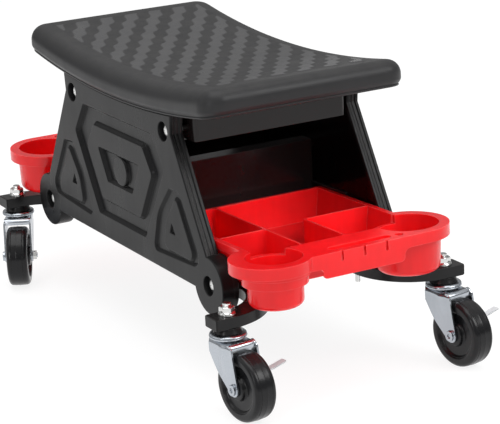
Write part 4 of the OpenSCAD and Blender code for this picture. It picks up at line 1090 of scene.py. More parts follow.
HEXAGON = Relief(((0.285, 0.162), (0.719, 0.725), (0.632, 0.957)), (6.0,) * 6, True)
BOSS = Relief(((0.244, 0.297), (0.497, 0.651), (0.413, 0.823)), (6.0,) * 6, True)
MIDDLE = Relief(((0.172, 0.437), (0.333, 0.682)), (3.0,) * 4, True)
TRIANGLE = Relief(((0.922, 0.144), (0.876, 0.615), (0.738, 0.627), (0.489, 0.407), (0.354, 0.101)),
                  (13.8, 7.8, 7.8, 60.0, 7.8))
TRIANGLE_BOSS = Relief(((0.833, 0.174), (0.79, 0.56), (0.578, 0.358), (0.505, 0.174)), (7.2, 3.6, 36.0, 6.0))
TRIANGLE_MARK = Relief(((0.673, 0.29), (0.656, 0.382), (0.595, 0.29)), (1.5,) * 3)
MARK_WALL = ((0.0, 0.0), (0.4, 0.15), (0.9, 1.0), (1.6, 2.6), (2.0, 3.0))


@dataclass
class SidePanel:
    """One moulded side panel, with its relief, grooved edge and counterbores.

    Attributes:
        side: the side that it stands on.
        sizes: its sizes.
        saddle: the seat's arc above it.
        ARC_STEPS: segments of half the arc under the seat.
        LOBE_STEPS: segments of a foot's outline.
    """

    side: Side
    sizes: PanelSizes
    saddle: Saddle
    ARC_STEPS = 40
    LOBE_STEPS = 36

    def _edge_x(self, z: float, inset: float) -> float:
        """Place of the sloping edge at a height, moved inwards."""
        s = self.sizes
        return s.slope_x - s.slope * z - inset * math.hypot(1.0, s.slope)

    def _outline(self, inset: float, lobe_inset: float) -> list[Point2]:
        """Outline of the panel, counterclockwise from the middle of its foot.

        Args:
            inset: how far its edges move inwards.
            lobe_inset: how far the edges of the round feet move inwards.

        Returns:
            The outline's points, as many for each inset.
        """
        s = self.sizes
        r = s.lobe_r - lobe_inset
        foot = s.foot_z + inset
        drop = foot - s.lobe_z
        first = math.atan2(drop, -math.sqrt(r * r - drop * drop)) % (2 * math.pi)
        a, b = self._edge_x(s.lobe_z, inset) - s.lobe_x, -s.slope
        root = math.sqrt((a * b) ** 2 - (1 + b * b) * (a * a - r * r))
        dz = (-a * b + root) / (1 + b * b)
        last = math.atan2(dz, a + b * dz) + 2 * math.pi
        right: list[Point2] = [(0.0, foot), (0.5 * s.lobe_x, foot)]
        for k in range(self.LOBE_STEPS + 1):
            t = first + (last - first) * k / self.LOBE_STEPS
            right.append((s.lobe_x + r * math.cos(t), s.lobe_z + r * math.sin(t)))
        turn_x = self._edge_x(s.turn_z, inset)
        right.append(((right[-1][0] + turn_x) / 2, (right[-1][1] + s.turn_z) / 2))
        right.append((turn_x, s.turn_z))
        top_x = s.slope_x - s.slope * s.turn_z + s.flare - inset
        arc_r = self.saddle.radius + s.seat_gap + inset
        corner_x = self._upright_meets_arc((turn_x, s.turn_z), (top_x, s.high_z), arc_r)
        for k in range(self.ARC_STEPS):
            x = corner_x * (1 - k / self.ARC_STEPS)
            right.append((x, self.saddle.centre_z - math.sqrt(arc_r ** 2 - x * x)))
        return [*right, (0.0, self.saddle.centre_z - arc_r), *mirrored(right[1:])]

    def _upright_meets_arc(self, low: Point2, high: Point2, radius: float) -> float:
        """Where the upright edge meets the arc under the seat.

        Args:
            low: the edge's lower end.
            high: the point that it is measured to.
            radius: the arc's radius.

        Returns:
            The meeting point's place along the panel.
        """
        start, end = 0.0, 1.5
        for _ in range(40):
            t = (start + end) / 2
            x, z = between(low, high, t)
            if z < self.saddle.centre_z - math.sqrt(radius ** 2 - x * x):
                start = t
            else:
                end = t
        return x

    def _relief(self, relief: Relief, mirror: bool = False) -> Callable[[float], list[Point2]]:
        """Outline of a relief.

        Args:
            relief: the relief.
            mirror: whether it stands on the other side of the middle.

        Returns:
            A function that gives the outline at an inset.
        """
        s = self.sizes
        points = []
        radii = relief.radii
        for across, up in relief.shares:
            z = s.foot_z + up * (s.turn_z - s.foot_z)
            points.append((across * self._edge_x(z, 0.0), z))
        if relief.middle:
            points += mirrored(points)
        if mirror:
            points, radii = mirrored(points), radii[::-1]
        return lambda inset: rounded(points, radii, inset)

    def _wall(self, draft: Draft, outline: Callable[[float], list[Point2]], section: Sequence[Point2],
              outward: bool = False) -> tuple[list[int], list[int]]:
        """Adds a wall that goes down from the face.

        Args:
            draft: the draft to add to.
            outline: gives the wall's outline at an inset.
            section: pairs of inset and depth, from the top.
            outward: whether the wall goes outwards as it goes down.

        Returns:
            The loop at its top and the loop at its foot.
        """
        sign = -1 if outward else 1
        loops = [self._loop(draft, outline(sign * run), drop) for run, drop in section]
        draft.rings(loops)
        return loops[0], loops[-1]

    def _loop(self, draft: Draft, points: Iterable[Point2], depth: float) -> list[int]:
        """Adds a loop of points of the face, moved into the panel by a depth."""
        y = self.side.value * (self.sizes.y - depth)
        return draft.loop((x, y, z) for x, z in points)

    def _edge_section(self) -> list[Point3]:
        """Section across the panel's edge.

        Returns:
            Inset of the edge, inset of the round feet and depth, from the outer face.
        """
        s = self.sizes
        f, g, depth = s.fillet, s.groove_d, s.depth
        turns = [polar(1.0, a) for a in (0, 22, 45, 68, 90)]
        groove = ((0.0, 3.4), (0.5, 3.9), (g, 4.6), (g, 6.6), (0.7, 7.2), (0.7, 8.4), (g, 9.0), (g, 11.2),
                  (0.4, 12.0), (0.0, 12.6))
        back = ((0.0, depth - 1.0), (0.3, depth - 0.3), (1.0, depth), (3.5, depth))
        section = [(f * (1 - out), f * (1 - out), f * (1 - c)) for c, out in turns]
        return section + [(i, 0.0, d) for i, d in groove] + [(i, i, d) for i, d in back]

    def _add_middle(self, draft: Draft) -> list[int]:
        """Adds the hexagon, its boss and the disc in the boss.

        Args:
            draft: the draft to add to.

        Returns:
            The loop at the face.
        """
        s = self.sizes
        wall = fillet_wall(s.relief_w, s.relief_d)
        top, floor = self._wall(draft, self._relief(HEXAGON), wall)
        boss_top, boss_foot = self._wall(draft, self._relief(BOSS), wall, outward=True)
        draft.fill(floor, [boss_foot])
        middle_top, middle_floor = self._wall(draft, self._relief(MIDDLE), wall)
        draft.fill(boss_top, [middle_top])
        disc_z = s.foot_z + s.disc_share * (s.turn_z - s.foot_z)
        disc_wall = ((1.6, 1.0), (0.9, 1.15), (0.3, 1.6), (-0.4, 3.2), (-1.0, 4.6), (-1.5, s.relief_d))
        rim, foot = self._wall(draft, lambda inset: circle(0.0, disc_z, s.disc_r - inset), disc_wall)
        draft.fill(rim)
        draft.fill(middle_floor, [foot])
        return top

    def _add_triangle(self, draft: Draft, mirror: bool) -> list[int]:
        """Adds a triangle, its boss and the mark in the boss.

        Args:
            draft: the draft to add to.
            mirror: whether it stands at the rear.

        Returns:
            The loop at the face.
        """
        wall = fillet_wall(self.sizes.relief_w, self.sizes.triangle_d)
        top, floor = self._wall(draft, self._relief(TRIANGLE, mirror), wall)
        boss_top, boss_foot = self._wall(draft, self._relief(TRIANGLE_BOSS, mirror), wall, outward=True)
        draft.fill(floor, [boss_foot])
        mark_top, mark_floor = self._wall(draft, self._relief(TRIANGLE_MARK, mirror), MARK_WALL)
        draft.fill(boss_top, [mark_top])
        draft.fill(mark_floor)
        return top

    def _add_counterbore(self, draft: Draft, x: float, z: float) -> list[int]:
        """Adds a counterbore.

        Args:
            draft: the draft to add to.
            x: place of its centre.
            z: height of its centre.

        Returns:
            The loop at the face.
        """
        s = self.sizes
        wall = ((-1.0, 0.0), (-0.5, 0.15), (-0.1, 0.6), (0.0, 1.2), (0.0, s.counterbore_d - 0.6),
                (0.6, s.counterbore_d))
        top, floor = self._wall(draft, lambda inset: circle(x, z, s.counterbore_r - inset), wall)
        draft.fill(floor)
        return top

    def _add_lobe_backs(self, draft: Draft) -> None:
        """Adds the inner part of the round feet, thicker than the panel.

        Args:
            draft: the draft to add to.
        """
        s = self.sizes
        section = ((0.6, s.depth - 2.0), (0.0, s.depth - 1.5), (0.0, s.lobe_t - 1.2), (0.4, s.lobe_t - 0.3),
                   (1.2, s.lobe_t))
        for x in (-s.lobe_x, s.lobe_x):
            draft.slab([self._loop(draft, circle(x, s.lobe_z, s.lobe_r - s.lobe_gap - inset, 96), depth)
                        for inset, depth in section])

    def build(self, materials: Materials) -> None:
        """Builds the panel and puts it on the body.

        Args:
            materials: the scene's materials.
        """
        s = self.sizes
        draft = Draft()
        edge = [self._loop(draft, self._outline(i, j), d) for i, j, d in self._edge_section()]
        draft.rings(edge)
        holes = [self._add_counterbore(draft, sign * x, z)
                 for x, z in ((s.lobe_x, s.lobe_z), (s.top_bolt_x, s.top_bolt_z)) for sign in (1, -1)]
        holes.append(self._add_middle(draft))
        holes += [self._add_triangle(draft, mirror) for mirror in (False, True)]
        draft.fill(edge[0], holes)
        draft.fill(edge[-1])
        self._add_lobe_backs(draft)
        side = self.side.name.lower()
        plate = draft.piece(f"{side}_panel_plate", materials[Slot.PANEL])
        settle(plate, "frame", Slot.PANEL, f"{side}_side_panel")


@dataclass
class PanelBolts:
    """The domed bolts through the side panels.

    Attributes:
        seat_y: distance of the heads' seats from the centre line.
        head_r: radius of the heads.
        head_h: height of the heads.
        shank_r: radius of the shanks.
        upper_length: length of the upper bolts' shanks.
        lower_length: length of the lower bolts' shanks.
        COUNT: segments of a turn.
    """

    seat_y: float = 113.5
    head_r: float = 6.8
    head_h: float = 4.8
    shank_r: float = 3.0
    upper_length: float = 26.8
    lower_length: float = 20.6
    COUNT = 40

    def _profile(self, length: float) -> list[Point2]:
        """Section of a bolt.

        Args:
            length: length of the shank.

        Returns:
            Pairs of radius and place along the bolt, from the shank's end.
        """
        axis, rim = 0.01, 1.0
        dome = []
        for a in range(0, 81, 10):
            r, out = self.head_r * math.cos(math.radians(a)), (self.head_h - rim) * math.sin(math.radians(a))
            dome.append((r, rim + out))
        return [(axis, -length), (self.shank_r - 0.5, -length), (self.shank_r, 0.5 - length),
                (self.shank_r, 0.0), (self.head_r - 0.2, 0.0), (self.head_r, 0.3), *dome,
                (0.9, self.head_h), (0.7, self.head_h - 1.4), (axis, self.head_h - 1.6)]

    def build(self, sizes: PanelSizes, material: Material) -> None:
        """Builds the four upper and the four lower bolts.

        Args:
            sizes: the panels' sizes.
            material: their material.
        """
        for name, x, z, length in (
                ("upper_panel_bolts", sizes.top_bolt_x, sizes.top_bolt_z, self.upper_length),
                ("lower_panel_bolts", sizes.lobe_x, sizes.lobe_z, self.lower_length)):
            draft = Draft()
            for side in Side:
                for end in End:
                    draft.rings([draft.loop((px, side.value * (self.seat_y + out), pz)
                                            for px, pz in circle(end.value * x, z, r, self.COUNT))
                                 for r, out in self._profile(length)])
            settle(draft.piece(f"domed_{name}", material, 40.0), "frame", Slot.FASTENER, name)


# Casters


# Distance of the axles behind the stems, and heights of the axles and of the forks' tops.
TRAIL = 30.2
AXLE_Z = 38.0
CROWN_Z = 85.0


@dataclass(frozen=True)
class Stand:
    """Where a caster's stem stands and which way its wheel points.

    Attributes:
        name: the caster's name.
        x: place of the stem along the seat.
        y: place of the stem across the seat.
        heading: heading of the wheel from +X, in degrees.
    """

    name: str
    x: float
    y: float
    heading: float

    def place(self, p: Point3) -> Point3:
        """Turns a point of the caster's own frame into a place in the shared frame."""
        c, s = polar(1.0, self.heading)
        return self.x + p[0] * c - p[1] * s, self.y + p[0] * s + p[1] * c, p[2]

    def lathe_z(self, draft: Draft, profile: Sequence[Point2], count: int) -> None:
        """Turns a profile about the stem.

        Args:
            draft: the draft to add to.
            profile: pairs of radius and height, from the lower end to the upper.
            count: segments of a turn.
        """
        draft.tube([draft.loop((x, y, z) for x, y in circle(self.x, self.y, r, count)) for r, z in profile])

    def lathe_y(self, draft: Draft, profile: Sequence[Point2], count: int) -> None:
        """Turns a closed profile about the axle.

        Args:
            draft: the draft to add to.
            profile: pairs of radius and place across, which close on themselves.
            count: segments of a turn.
        """
        loops = [draft.loop(self.place((x, across, z)) for x, z in circle(TRAIL, AXLE_Z, r, count))
                 for r, across in profile]
        draft.rings([*loops, loops[0]])


@dataclass
class Wheel:
    """A hard rubber wheel with a dished web and a moulding line.

    Attributes:
        radius: radius of the tread.
        half_w: half width of the tread.
        bore: radius of its bore.
        hub_r: radius of the hub.
        hub_half_w: half width of the hub.
        web_half_w: half thickness of the web.
        rim_r: inner radius of the rim.
        edge_r: radius of the tread's shoulders.
    """

    radius: float = 38.0
    half_w: float = 13.2
    bore: float = 4.6
    hub_r: float = 12.6
    hub_half_w: float = 14.7
    web_half_w: float = 9.5
    rim_r: float = 27.0
    edge_r: float = 5.0

    def _half_section(self) -> list[Point2]:
        """Section of one side, from the bore out to the moulding line.

        Returns:
            Pairs of radius and half width.
        """
        hub_r, rim_r, tread_r = self.hub_r, self.rim_r, self.radius
        hub, web, rim = self.hub_half_w, self.web_half_w, self.half_w
        section = [(self.bore, hub - 0.5), (self.bore + 0.6, hub), (hub_r - 1.2, hub),
                   (hub_r - 0.3, hub - 0.4), (hub_r, hub - 1.3), (hub_r + 0.5, web + 2.2),
                   (hub_r + 1.2, web + 0.7), (hub_r + 2.6, web),
                   (rim_r - 3.4, web), (rim_r - 1.6, web + 0.6), (rim_r - 0.6, web + 2.4), (rim_r, rim - 1.4),
                   (rim_r + 0.5, rim - 0.5), (rim_r + 1.3, rim - 0.1), (rim_r + 2.2, rim), (rim_r + 4.0, rim)]
        for k in range(9):
            c, s = polar(1.0, 90 - 80 * k / 8)
            section.append((tread_r - 0.5 - self.edge_r * (1 - c), rim - self.edge_r * (1 - s)))
        return section + [(tread_r - 0.42, 7.6), (tread_r - 0.75, 7.3), (tread_r - 0.75, 6.9),
                          (tread_r - 0.35, 6.6), (tread_r - 0.25, 1.0), (tread_r, 0.35)]

    def build(self, stand: Stand, material: Material) -> None:
        """Builds the wheel and puts it on its body.

        Args:
            stand: where the caster stands.
            material: its material.
        """
        side = self._half_section()
        draft = Draft()
        stand.lathe_y(draft, side + [(r, -w) for r, w in reversed(side)], 96)
        settle(draft.piece(f"{stand.name}_rubber_wheel", material, sharp=50.0),
               f"{stand.name}_wheel", Slot.RUBBER, f"{stand.name}_wheel")


@dataclass
class Fork:
    """A pressed steel fork with bent shoulders, ribbed legs, a rolled front lip and eye bosses.

    Attributes:
        half_w: half width over the legs.
        sheet: thickness of the steel.
        bend: radius of the shoulders.
        eye_r: radius of the legs' lower ends.
        crown_r: radius of the crown.
        back_x: back edge of the legs at the crown.
        front_x: front edge of the crown.
        rib_h: height of the rib pressed along each leg.
        rib_z: height where the rib starts.
        rib_at: place of the rib, as a share of the leg's width.
        rib_w: width of the rib, as such a share.
        lip_r: outer radius of the front lip.
        COLUMNS: segments over the sheet's width.
        LEG_STEPS: segments of a leg's straight part.
    """

    half_w: float = 17.6
    sheet: float = 2.2
    bend: float = 5.5
    eye_r: float = 8.0
    crown_r: float = 20.5
    back_x: float = -12.0
    front_x: float = 28.0
    rib_h: float = 1.1
    rib_z: float = 46.0
    rib_at: float = 0.55
    rib_w: float = 0.13
    lip_r: float = 4.5
    COLUMNS = 14
    LEG_STEPS = 14

    def _reach(self, y: float, z: float) -> tuple[float, float]:
        """Back and front edge of the sheet at a place on its section.

        Args:
            y: place across the fork.
            z: height.

        Returns:
            The two places along the fork.
        """
        low = AXLE_Z - z
        half = math.sqrt(max(0.0, self.eye_r ** 2 - low * low))
        backs = ((AXLE_Z - 6.1, TRAIL - 5.2), (AXLE_Z + 11.8, 4.0), (AXLE_Z + 22.2, -4.0),
                 (AXLE_Z + 32.6, -11.2), (CROWN_Z, self.back_x))
        fronts = ((AXLE_Z, TRAIL + self.eye_r), (AXLE_Z + 23, self.front_x + 4.8), (CROWN_Z, self.front_x))
        back = TRAIL - half if z < backs[0][0] else along(backs, z)
        front = TRAIL + half if low > 0 else along(fronts, z)
        top = max(0.0, (z - CROWN_Z + self.bend) / self.bend)
        if top:
            back = min(back, -math.sqrt(max(0.0, self.crown_r ** 2 - y * y)))
            front -= 4.0 * top * top
        return back, front

    def _section(self) -> list[tuple[float, float, float, float]]:
        """Section of the sheet's outside, from one leg's end over the crown to the other's.

        Returns:
            Place across, height, and the outward direction in those two.
        """
        foot, top = AXLE_Z, CROWN_Z - self.bend
        heights = [foot - polar(self.eye_r, 11.25 * k)[0] for k in range(8)]
        heights += [foot + (top - foot) * k / self.LEG_STEPS for k in range(self.LEG_STEPS + 1)]
        leg = [(self.half_w, z, 1.0, 0.0) for z in heights]
        for k in range(1, 7):
            c, s = polar(1.0, 15 * k)
            leg.append((self.half_w - self.bend * (1 - c), top + self.bend * s, c, s))
        flat = self.half_w - self.bend
        middle = [(flat * (1 - k / 5), CROWN_Z, 0.0, 1.0) for k in range(1, 10)]
        return leg + middle + [(-y, z, -ny, nz) for y, z, ny, nz in reversed(leg)]

    def _sheet(self, draft: Draft, stand: Stand) -> None:
        """Adds the bent sheet.

        Args:
            draft: the draft to add to.
            stand: where the caster stands.
        """
        outer, inner = [], []
        for y, z, ny, nz in self._section():
            back, front = self._reach(y, z)
            rise = share_of((z - self.rib_z) / 14) * share_of((CROWN_Z - z) / 8)
            for rows, depth in ((outer, 0.0), (inner, self.sheet)):
                points = []
                for k in range(self.COLUMNS + 1):
                    t = k / self.COLUMNS
                    bulge = self.rib_h * rise * math.exp(-((t - self.rib_at) / self.rib_w) ** 2) - depth
                    points.append(stand.place((back + (front - back) * t, y + ny * bulge, z + nz * bulge)))
                rows.append(draft.loop(points))
        draft.rings(outer, closed=False)
        draft.rings(inner, closed=False)
        for column in (0, -1):
            draft.rings([[row[column] for row in rows] for rows in (outer, inner)], closed=False)
            draft.rings([outer[column], inner[column]], closed=False)

    def _lip(self, draft: Draft, stand: Stand) -> None:
        """Adds the front lip, rolled down from the crown.

        Args:
            draft: the draft to add to.
            stand: where the caster stands.
        """
        x, z = self.front_x - self.lip_r, CROWN_Z - self.lip_r
        outline = []
        for r, order in ((self.lip_r, 1), (self.lip_r - self.sheet, -1)):
            turns = [polar(r, 15 * k) for k in range(7)]
            arc = [(x + out, z + up) for up, out in turns]
            outline += [(x - 1.5, z + r), *arc, (x + r, z - 2.5)][::order]
        reach = self.half_w - 0.8
        loops = []
        for k in range(-4, 5):
            pinch = 1.2 * abs(k / 4) ** 3
            loops.append(draft.loop(stand.place((px - pinch, reach * k / 4, pz)) for px, pz in outline))
        draft.tube(loops)

    def build(self, stand: Stand, material: Material) -> None:
        """Builds the fork and puts it on its body.

        Args:
            stand: where the caster stands.
            material: its material.
        """
        draft = Draft()
        self._sheet(draft, stand)
        self._lip(draft, stand)
        boss = ((3.2, -0.4), (3.2, 0.6), (5.4, 0.6), (6.0, 0.4), (6.6, -0.2), (6.6, -0.6))
        for side in (-1, 1):
            stand.lathe_y(draft, [(r, side * (self.half_w + up)) for r, up in boss], 48)
        settle(draft.piece(f"{stand.name}_pressed_fork", material, sharp=40.0),
               f"{stand.name}_swivel", Slot.ZINC, f"{stand.name}_fork")


@dataclass
class LockLever:
    """The lever on a front caster's axle, with its toothed tab.

    Attributes:
        inner_y: inner face of the arm.
        sheet: thickness of the arm.
        eye_r: half width of the arm.
        reach: length of the arm.
        angle: turn of the arm from the heading, in degrees.
        tab_w: width of the tab.
        tab_len: length of the tab.
        tab_t: thickness of the tab.
        rise: angle at which the tab climbs, in degrees.
        plain: share of the tab's length before its teeth.
        teeth: teeth along each side of the tab.
    """

    inner_y: float = 17.8
    sheet: float = 2.0
    eye_r: float = 7.5
    reach: float = 16.5
    angle: float = 60.0
    tab_w: float = 9.0
    tab_len: float = 26.0
    tab_t: float = 1.5
    rise: float = 13.0
    plain: float = 0.35
    teeth: int = 9

    def build(self, stand: Stand, material: Material) -> None:
        """Builds the lever and puts it on its body.

        Args:
            stand: where the caster stands.
            material: its material.
        """
        draft = Draft()
        self._arm(draft, stand)
        self._tab(draft, stand)
        settle(draft.piece(f"{stand.name}_lock_lever", material, sharp=30.0),
               f"{stand.name}_lock", Slot.ZINC, f"{stand.name}_brake_lever")

    def _arm(self, draft: Draft, stand: Stand) -> None:
        """Adds the arm.

        Args:
            draft: the draft to add to.
            stand: where the caster stands.
        """
        c, s = polar(1.0, self.angle)
        r, end = self.eye_r, self.reach
        arm = [polar(r, a) for a in range(90, 271, 15)]
        arm += [(end - 2, -r), (end, 2 - r), (end, r - 2), (end - 2, r)]
        draft.slab([draft.loop(stand.place((TRAIL + size * (u * c - v * s), self.inner_y + y,
                                            AXLE_Z + size * (u * s + v * c))) for u, v in arm)
                    for size, y in ((0.95, 0.0), (1.0, 0.25), (1.0, self.sheet - 0.25), (0.95, self.sheet))])

    def _tab(self, draft: Draft, stand: Stand) -> None:
        """Adds the toothed tab at the arm's end.

        Args:
            draft: the draft to add to.
            stand: where the caster stands.
        """
        out, up = polar(self.reach, self.angle)
        c, s = polar(1.0, self.rise)
        half, start = self.tab_w / 2, self.tab_len * self.plain
        pitch = (self.tab_len - start - 1.5) / self.teeth
        side = [(half - 0.6, 0.0), (half - 0.6, start - 1)]
        for k in range(self.teeth):
            side += [(half, start + k * pitch), (half - 0.9, start + (k + 0.55) * pitch)]
        side += [(half, self.tab_len - 1.2), (half - 1.2, self.tab_len)]
        outline = side + mirrored(side)
        draft.slab([draft.loop(stand.place((TRAIL + out + u, self.inner_y + self.sheet / 2 + v * c - w * s,
                                            AXLE_Z + up + v * s + w * c)) for u, v in outline)
                    for w in (-self.tab_t / 2, self.tab_t / 2)], drop=2)


@dataclass
class Swivel:
    """The race, spacer, stem and flanged nut that hold a caster on its rail.

    Attributes:
        race_r: radius of the race.
        race_z: height of the race's underside.
        race_h: height of the race's edge.
        neck_r: radius of the race's neck.
        spacer_r: radius of the spacer's foot.
        rail_z: heights of the rail's underside and top.
        stem_r: radius of the stem.
        head_r: radius of the stem's head.
        head_h: height of the stem's head.
        head_drop: how far the head's top lies under the fork's.
        nut_af: width of the nut over its flats.
        nut_h: height of the nut.
        washer_t: thickness of the washer.
        tip: how far the stem stands out of the nut.
        pitch: pitch of the thread.
        SIDES: segments of a turn.
        STEM_SIDES: segments of the stem's turn.
    """

    race_r: float = 20.5
    race_z: float = 86.2
    race_h: float = 5.2
    neck_r: float = 12.0
    spacer_r: float = 16.0
    rail_z: tuple[float, float] = (97.5, 110.0)
    stem_r: float = 5.0
    head_r: float = 9.0
    head_h: float = 5.0
    head_drop: float = 2.35
    nut_af: float = 15.0
    nut_h: float = 8.0
    washer_t: float = 1.8
    tip: float = 3.5
    pitch: float = 1.25
    SIDES = 72
    STEM_SIDES = 48

    def add_race(self, draft: Draft, stand: Stand) -> None:
        """Adds the race with its rolled edge, dark groove and domed top."""
        r, z, top, neck = self.race_r, self.race_z, self.race_z + self.race_h, self.neck_r
        stand.lathe_z(draft, [
            (r - 5, z + 0.2), (r - 0.6, z), (r - 0.1, z + 0.4), (r, z + 1.0), (r - 0.1, z + 1.7),
            (r - 1.2, z + 2.0), (r - 1.2, z + 2.5), (r - 0.3, z + 2.8), (r - 0.4, z + 3.5),
            (r - 1.4, z + 4.4),
            (r - 3.2, top - 0.3), (r - 5.4, top), (neck + 2.4, top + 0.1), (neck + 0.8, top + 0.7),
            (neck, top + 1.8), (neck, self.rail_z[0])], self.SIDES)

    def add_spacer(self, draft: Draft, stand: Stand) -> None:
        """Adds the black spacer between the race and the rail."""
        r, low, high = self.spacer_r, self.race_z + self.race_h + 0.2, self.rail_z[0]
        stand.lathe_z(draft, [(r - 0.4, low), (r, low + 0.4), (r - 0.5, low + 1.6), (r - 2.2, high - 0.8),
                              (r - 2.2, high)], self.SIDES)

    def add_stem(self, draft: Draft, stand: Stand) -> None:
        """Adds the stem with its head below and its threaded tip above.

        Args:
            draft: the draft to add to.
            stand: where the caster stands.
        """
        r, head_r, head = self.stem_r, self.head_r, CROWN_Z - self.head_drop
        nut_top = self.rail_z[1] + self.washer_t + self.nut_h
        profile = [(head_r - 0.6, head - self.head_h), (head_r, head - self.head_h + 0.6),
                   (head_r, head - 0.4), (head_r - 0.4, head), (r, head), (r, nut_top - 2 * self.pitch)]
        z = nut_top - 1.5 * self.pitch
        while z + self.pitch < nut_top + self.tip - 0.8:
            profile += [(r - 0.6, z), (r, z + self.pitch / 2)]
            z += self.pitch
        profile += [(r - 0.6, z), (r - 0.6, nut_top + self.tip - 0.5), (r - 1.2, nut_top + self.tip)]
        stand.lathe_z(draft, profile, self.STEM_SIDES)

    def add_nut(self, draft: Draft, stand: Stand) -> None:
        """Adds the flanged nut with its chamfered top.

        Args:
            draft: the draft to add to.
            stand: where the caster stands.
        """
        flat, r, z = self.nut_af / 2, self.stem_r, self.rail_z[1] + self.washer_t
        top = z + self.nut_h
        levels = ((r, False, z), (9.2, False, z), (9.4, False, z + 0.4), (9.2, False, z + 0.9),
                  (8.6, False, z + 1.6), (math.inf, True, z + 2.4), (math.inf, True, top - 1.5),
                  (flat + 0.35, True, top - 0.6),
                  (flat - 0.7, False, top), (r + 0.5, False, top - 0.1), (r - 0.3, False, top - 0.9))
        loops = []
        for cap, hexed, height in levels:
            points = []
            for k in range(self.SIDES):
                a = 360 * k / self.SIDES
                corner = flat / math.cos(math.radians(a % 60 - 30))
                x, y = polar(min(cap, corner) if hexed else cap, a)
                points.append((stand.x + x, stand.y + y, height))
            loops.append(draft.loop(points))
        draft.rings([*loops, loops[0]])


STEM_X, STEM_Y = 281.0, 137.5
STANDS = (Stand("near_front", STEM_X, -STEM_Y, 6.4), Stand("far_front", STEM_X, STEM_Y, 7.4),
          Stand("near_rear", -STEM_X, -STEM_Y, -28.2), Stand("far_rear", -STEM_X, STEM_Y, 152.0))


def build_casters(materials: Materials) -> None:
    """Builds the four casters.

    Args:
        materials: the scene's materials.
    """
    swivel = Swivel()
    races, spacers, stems, nuts = Draft(), Draft(), Draft(), Draft()
    for stand in STANDS:
        Fork().build(stand, materials[Slot.ZINC])
        Wheel().build(stand, materials[Slot.RUBBER])
        if "front" in stand.name:
            LockLever().build(stand, materials.lever)
        swivel.add_race(races, stand)
        swivel.add_spacer(spacers, stand)
        swivel.add_stem(stems, stand)
        swivel.add_nut(nuts, stand)
    for draft, name, sharp, slot, nodes in (
            (races, "turned_races", 40.0, Slot.ZINC, ("swivel_races",)),
            (spacers, "rail_spacers", 40.0, Slot.STEEL, ()),
            (stems, "threaded_stems", 40.0, Slot.FASTENER, ("stem_bolts",)),
            (nuts, "flanged_nuts", 25.0, Slot.FASTENER, ("stem_nuts",))):
        settle(draft.piece(name, materials[slot], sharp), "frame", slot, *nodes)


# Carried-over nodes


@dataclass(frozen=True)
class Dressing:
    """How carried-over CAD nodes are dressed.

    Attributes:
        slot: the slot of their material.
        round_mm: radius that their sharp edges get.
        segments: segments of that radius.
        nodes: their names.
        MERGE: distance at which points are joined.
        FLAT: angle under which faces count as flat, in degrees.
        SHARP: angle from which edges are rounded, in degrees.
    """

    slot: Slot
    round_mm: float
    segments: int
    nodes: tuple[str, ...]
    MERGE = 0.01
    FLAT = 0.6
    SHARP = 32

    def dress(self, nodes: dict[str, bpy.types.Object], materials: Materials) -> None:
        """Gives the nodes their material and rounded edges.

        Args:
            nodes: the CAD nodes by name.
            materials: the scene's materials.
        """
        for name in self.nodes:
            obj = nodes[name]
            obj.data.materials.clear()
            obj.data.materials.append(materials[self.slot])
            if self.round_mm:
                self._round_edges(obj)
            LOG.info("node %s in %s", name, self.slot.value)

    def _round_edges(self, obj: bpy.types.Object) -> None:
        """Adds modifiers that join flat faces and round the sharp edges.

        Args:
            obj: the node.
        """
        weld = obj.modifiers.new("join faces", "WELD")
        weld.merge_threshold = self.MERGE * MM
        flat = obj.modifiers.new("flat faces", "DECIMATE")
        flat.decimate_type = "DISSOLVE"
        flat.angle_limit = math.radians(self.FLAT)
        bevel = obj.modifiers.new("rounded edges", "BEVEL")
        bevel.width = self.round_mm * MM
        bevel.segments = self.segments
        bevel.limit_method = "ANGLE"
        bevel.angle_limit = math.radians(self.SHARP)
        obj.modifiers.new("flat faces stay flat", "WEIGHTED_NORMAL")


DRESSINGS = (
    Dressing(Slot.GLOSS, 0.4, 2, ("near_panel_liner", "far_panel_liner")),
    Dressing(Slot.GLOSS, 0.6, 2, ("base_shelf",)),
    Dressing(Slot.GLOSS, 0.8, 2, ("seat_box",)),
    Dressing(Slot.GLOSS, 1.2, 4, ("front_bulkhead", "rear_bulkhead")),
    Dressing(Slot.STEEL, 0.9, 3, ("near_base_rail", "far_base_rail")),
    Dressing(Slot.CAP, 0.5, 2, ("rail_end_caps",)),
    Dressing(Slot.RED, 0.7, 3, ("front_tray", "rear_tray")),
    Dressing(Slot.FASTENER, 0.0, 2, ("swivel_balls",)),
    Dressing(Slot.FASTENER, 0.2, 2, ("seat_screws", "bulkhead_screws")),
    Dressing(Slot.FASTENER, 0.3, 2, ("rail_bolts", "stem_washers")),
    Dressing(Slot.FASTENER, 0.4, 2, ("upper_panel_nuts", "lower_panel_nuts", "rail_nuts",
                                     *[f"{stand.name}_axle_nut" for stand in STANDS])),
    Dressing(Slot.ZINC, 0.2, 2, tuple(f"{stand.name}_axle_sleeve" for stand in STANDS)),
    Dressing(Slot.ZINC, 0.3, 2, tuple(f"{stand.name}_axle_bolt" for stand in STANDS)),
)


# Studio


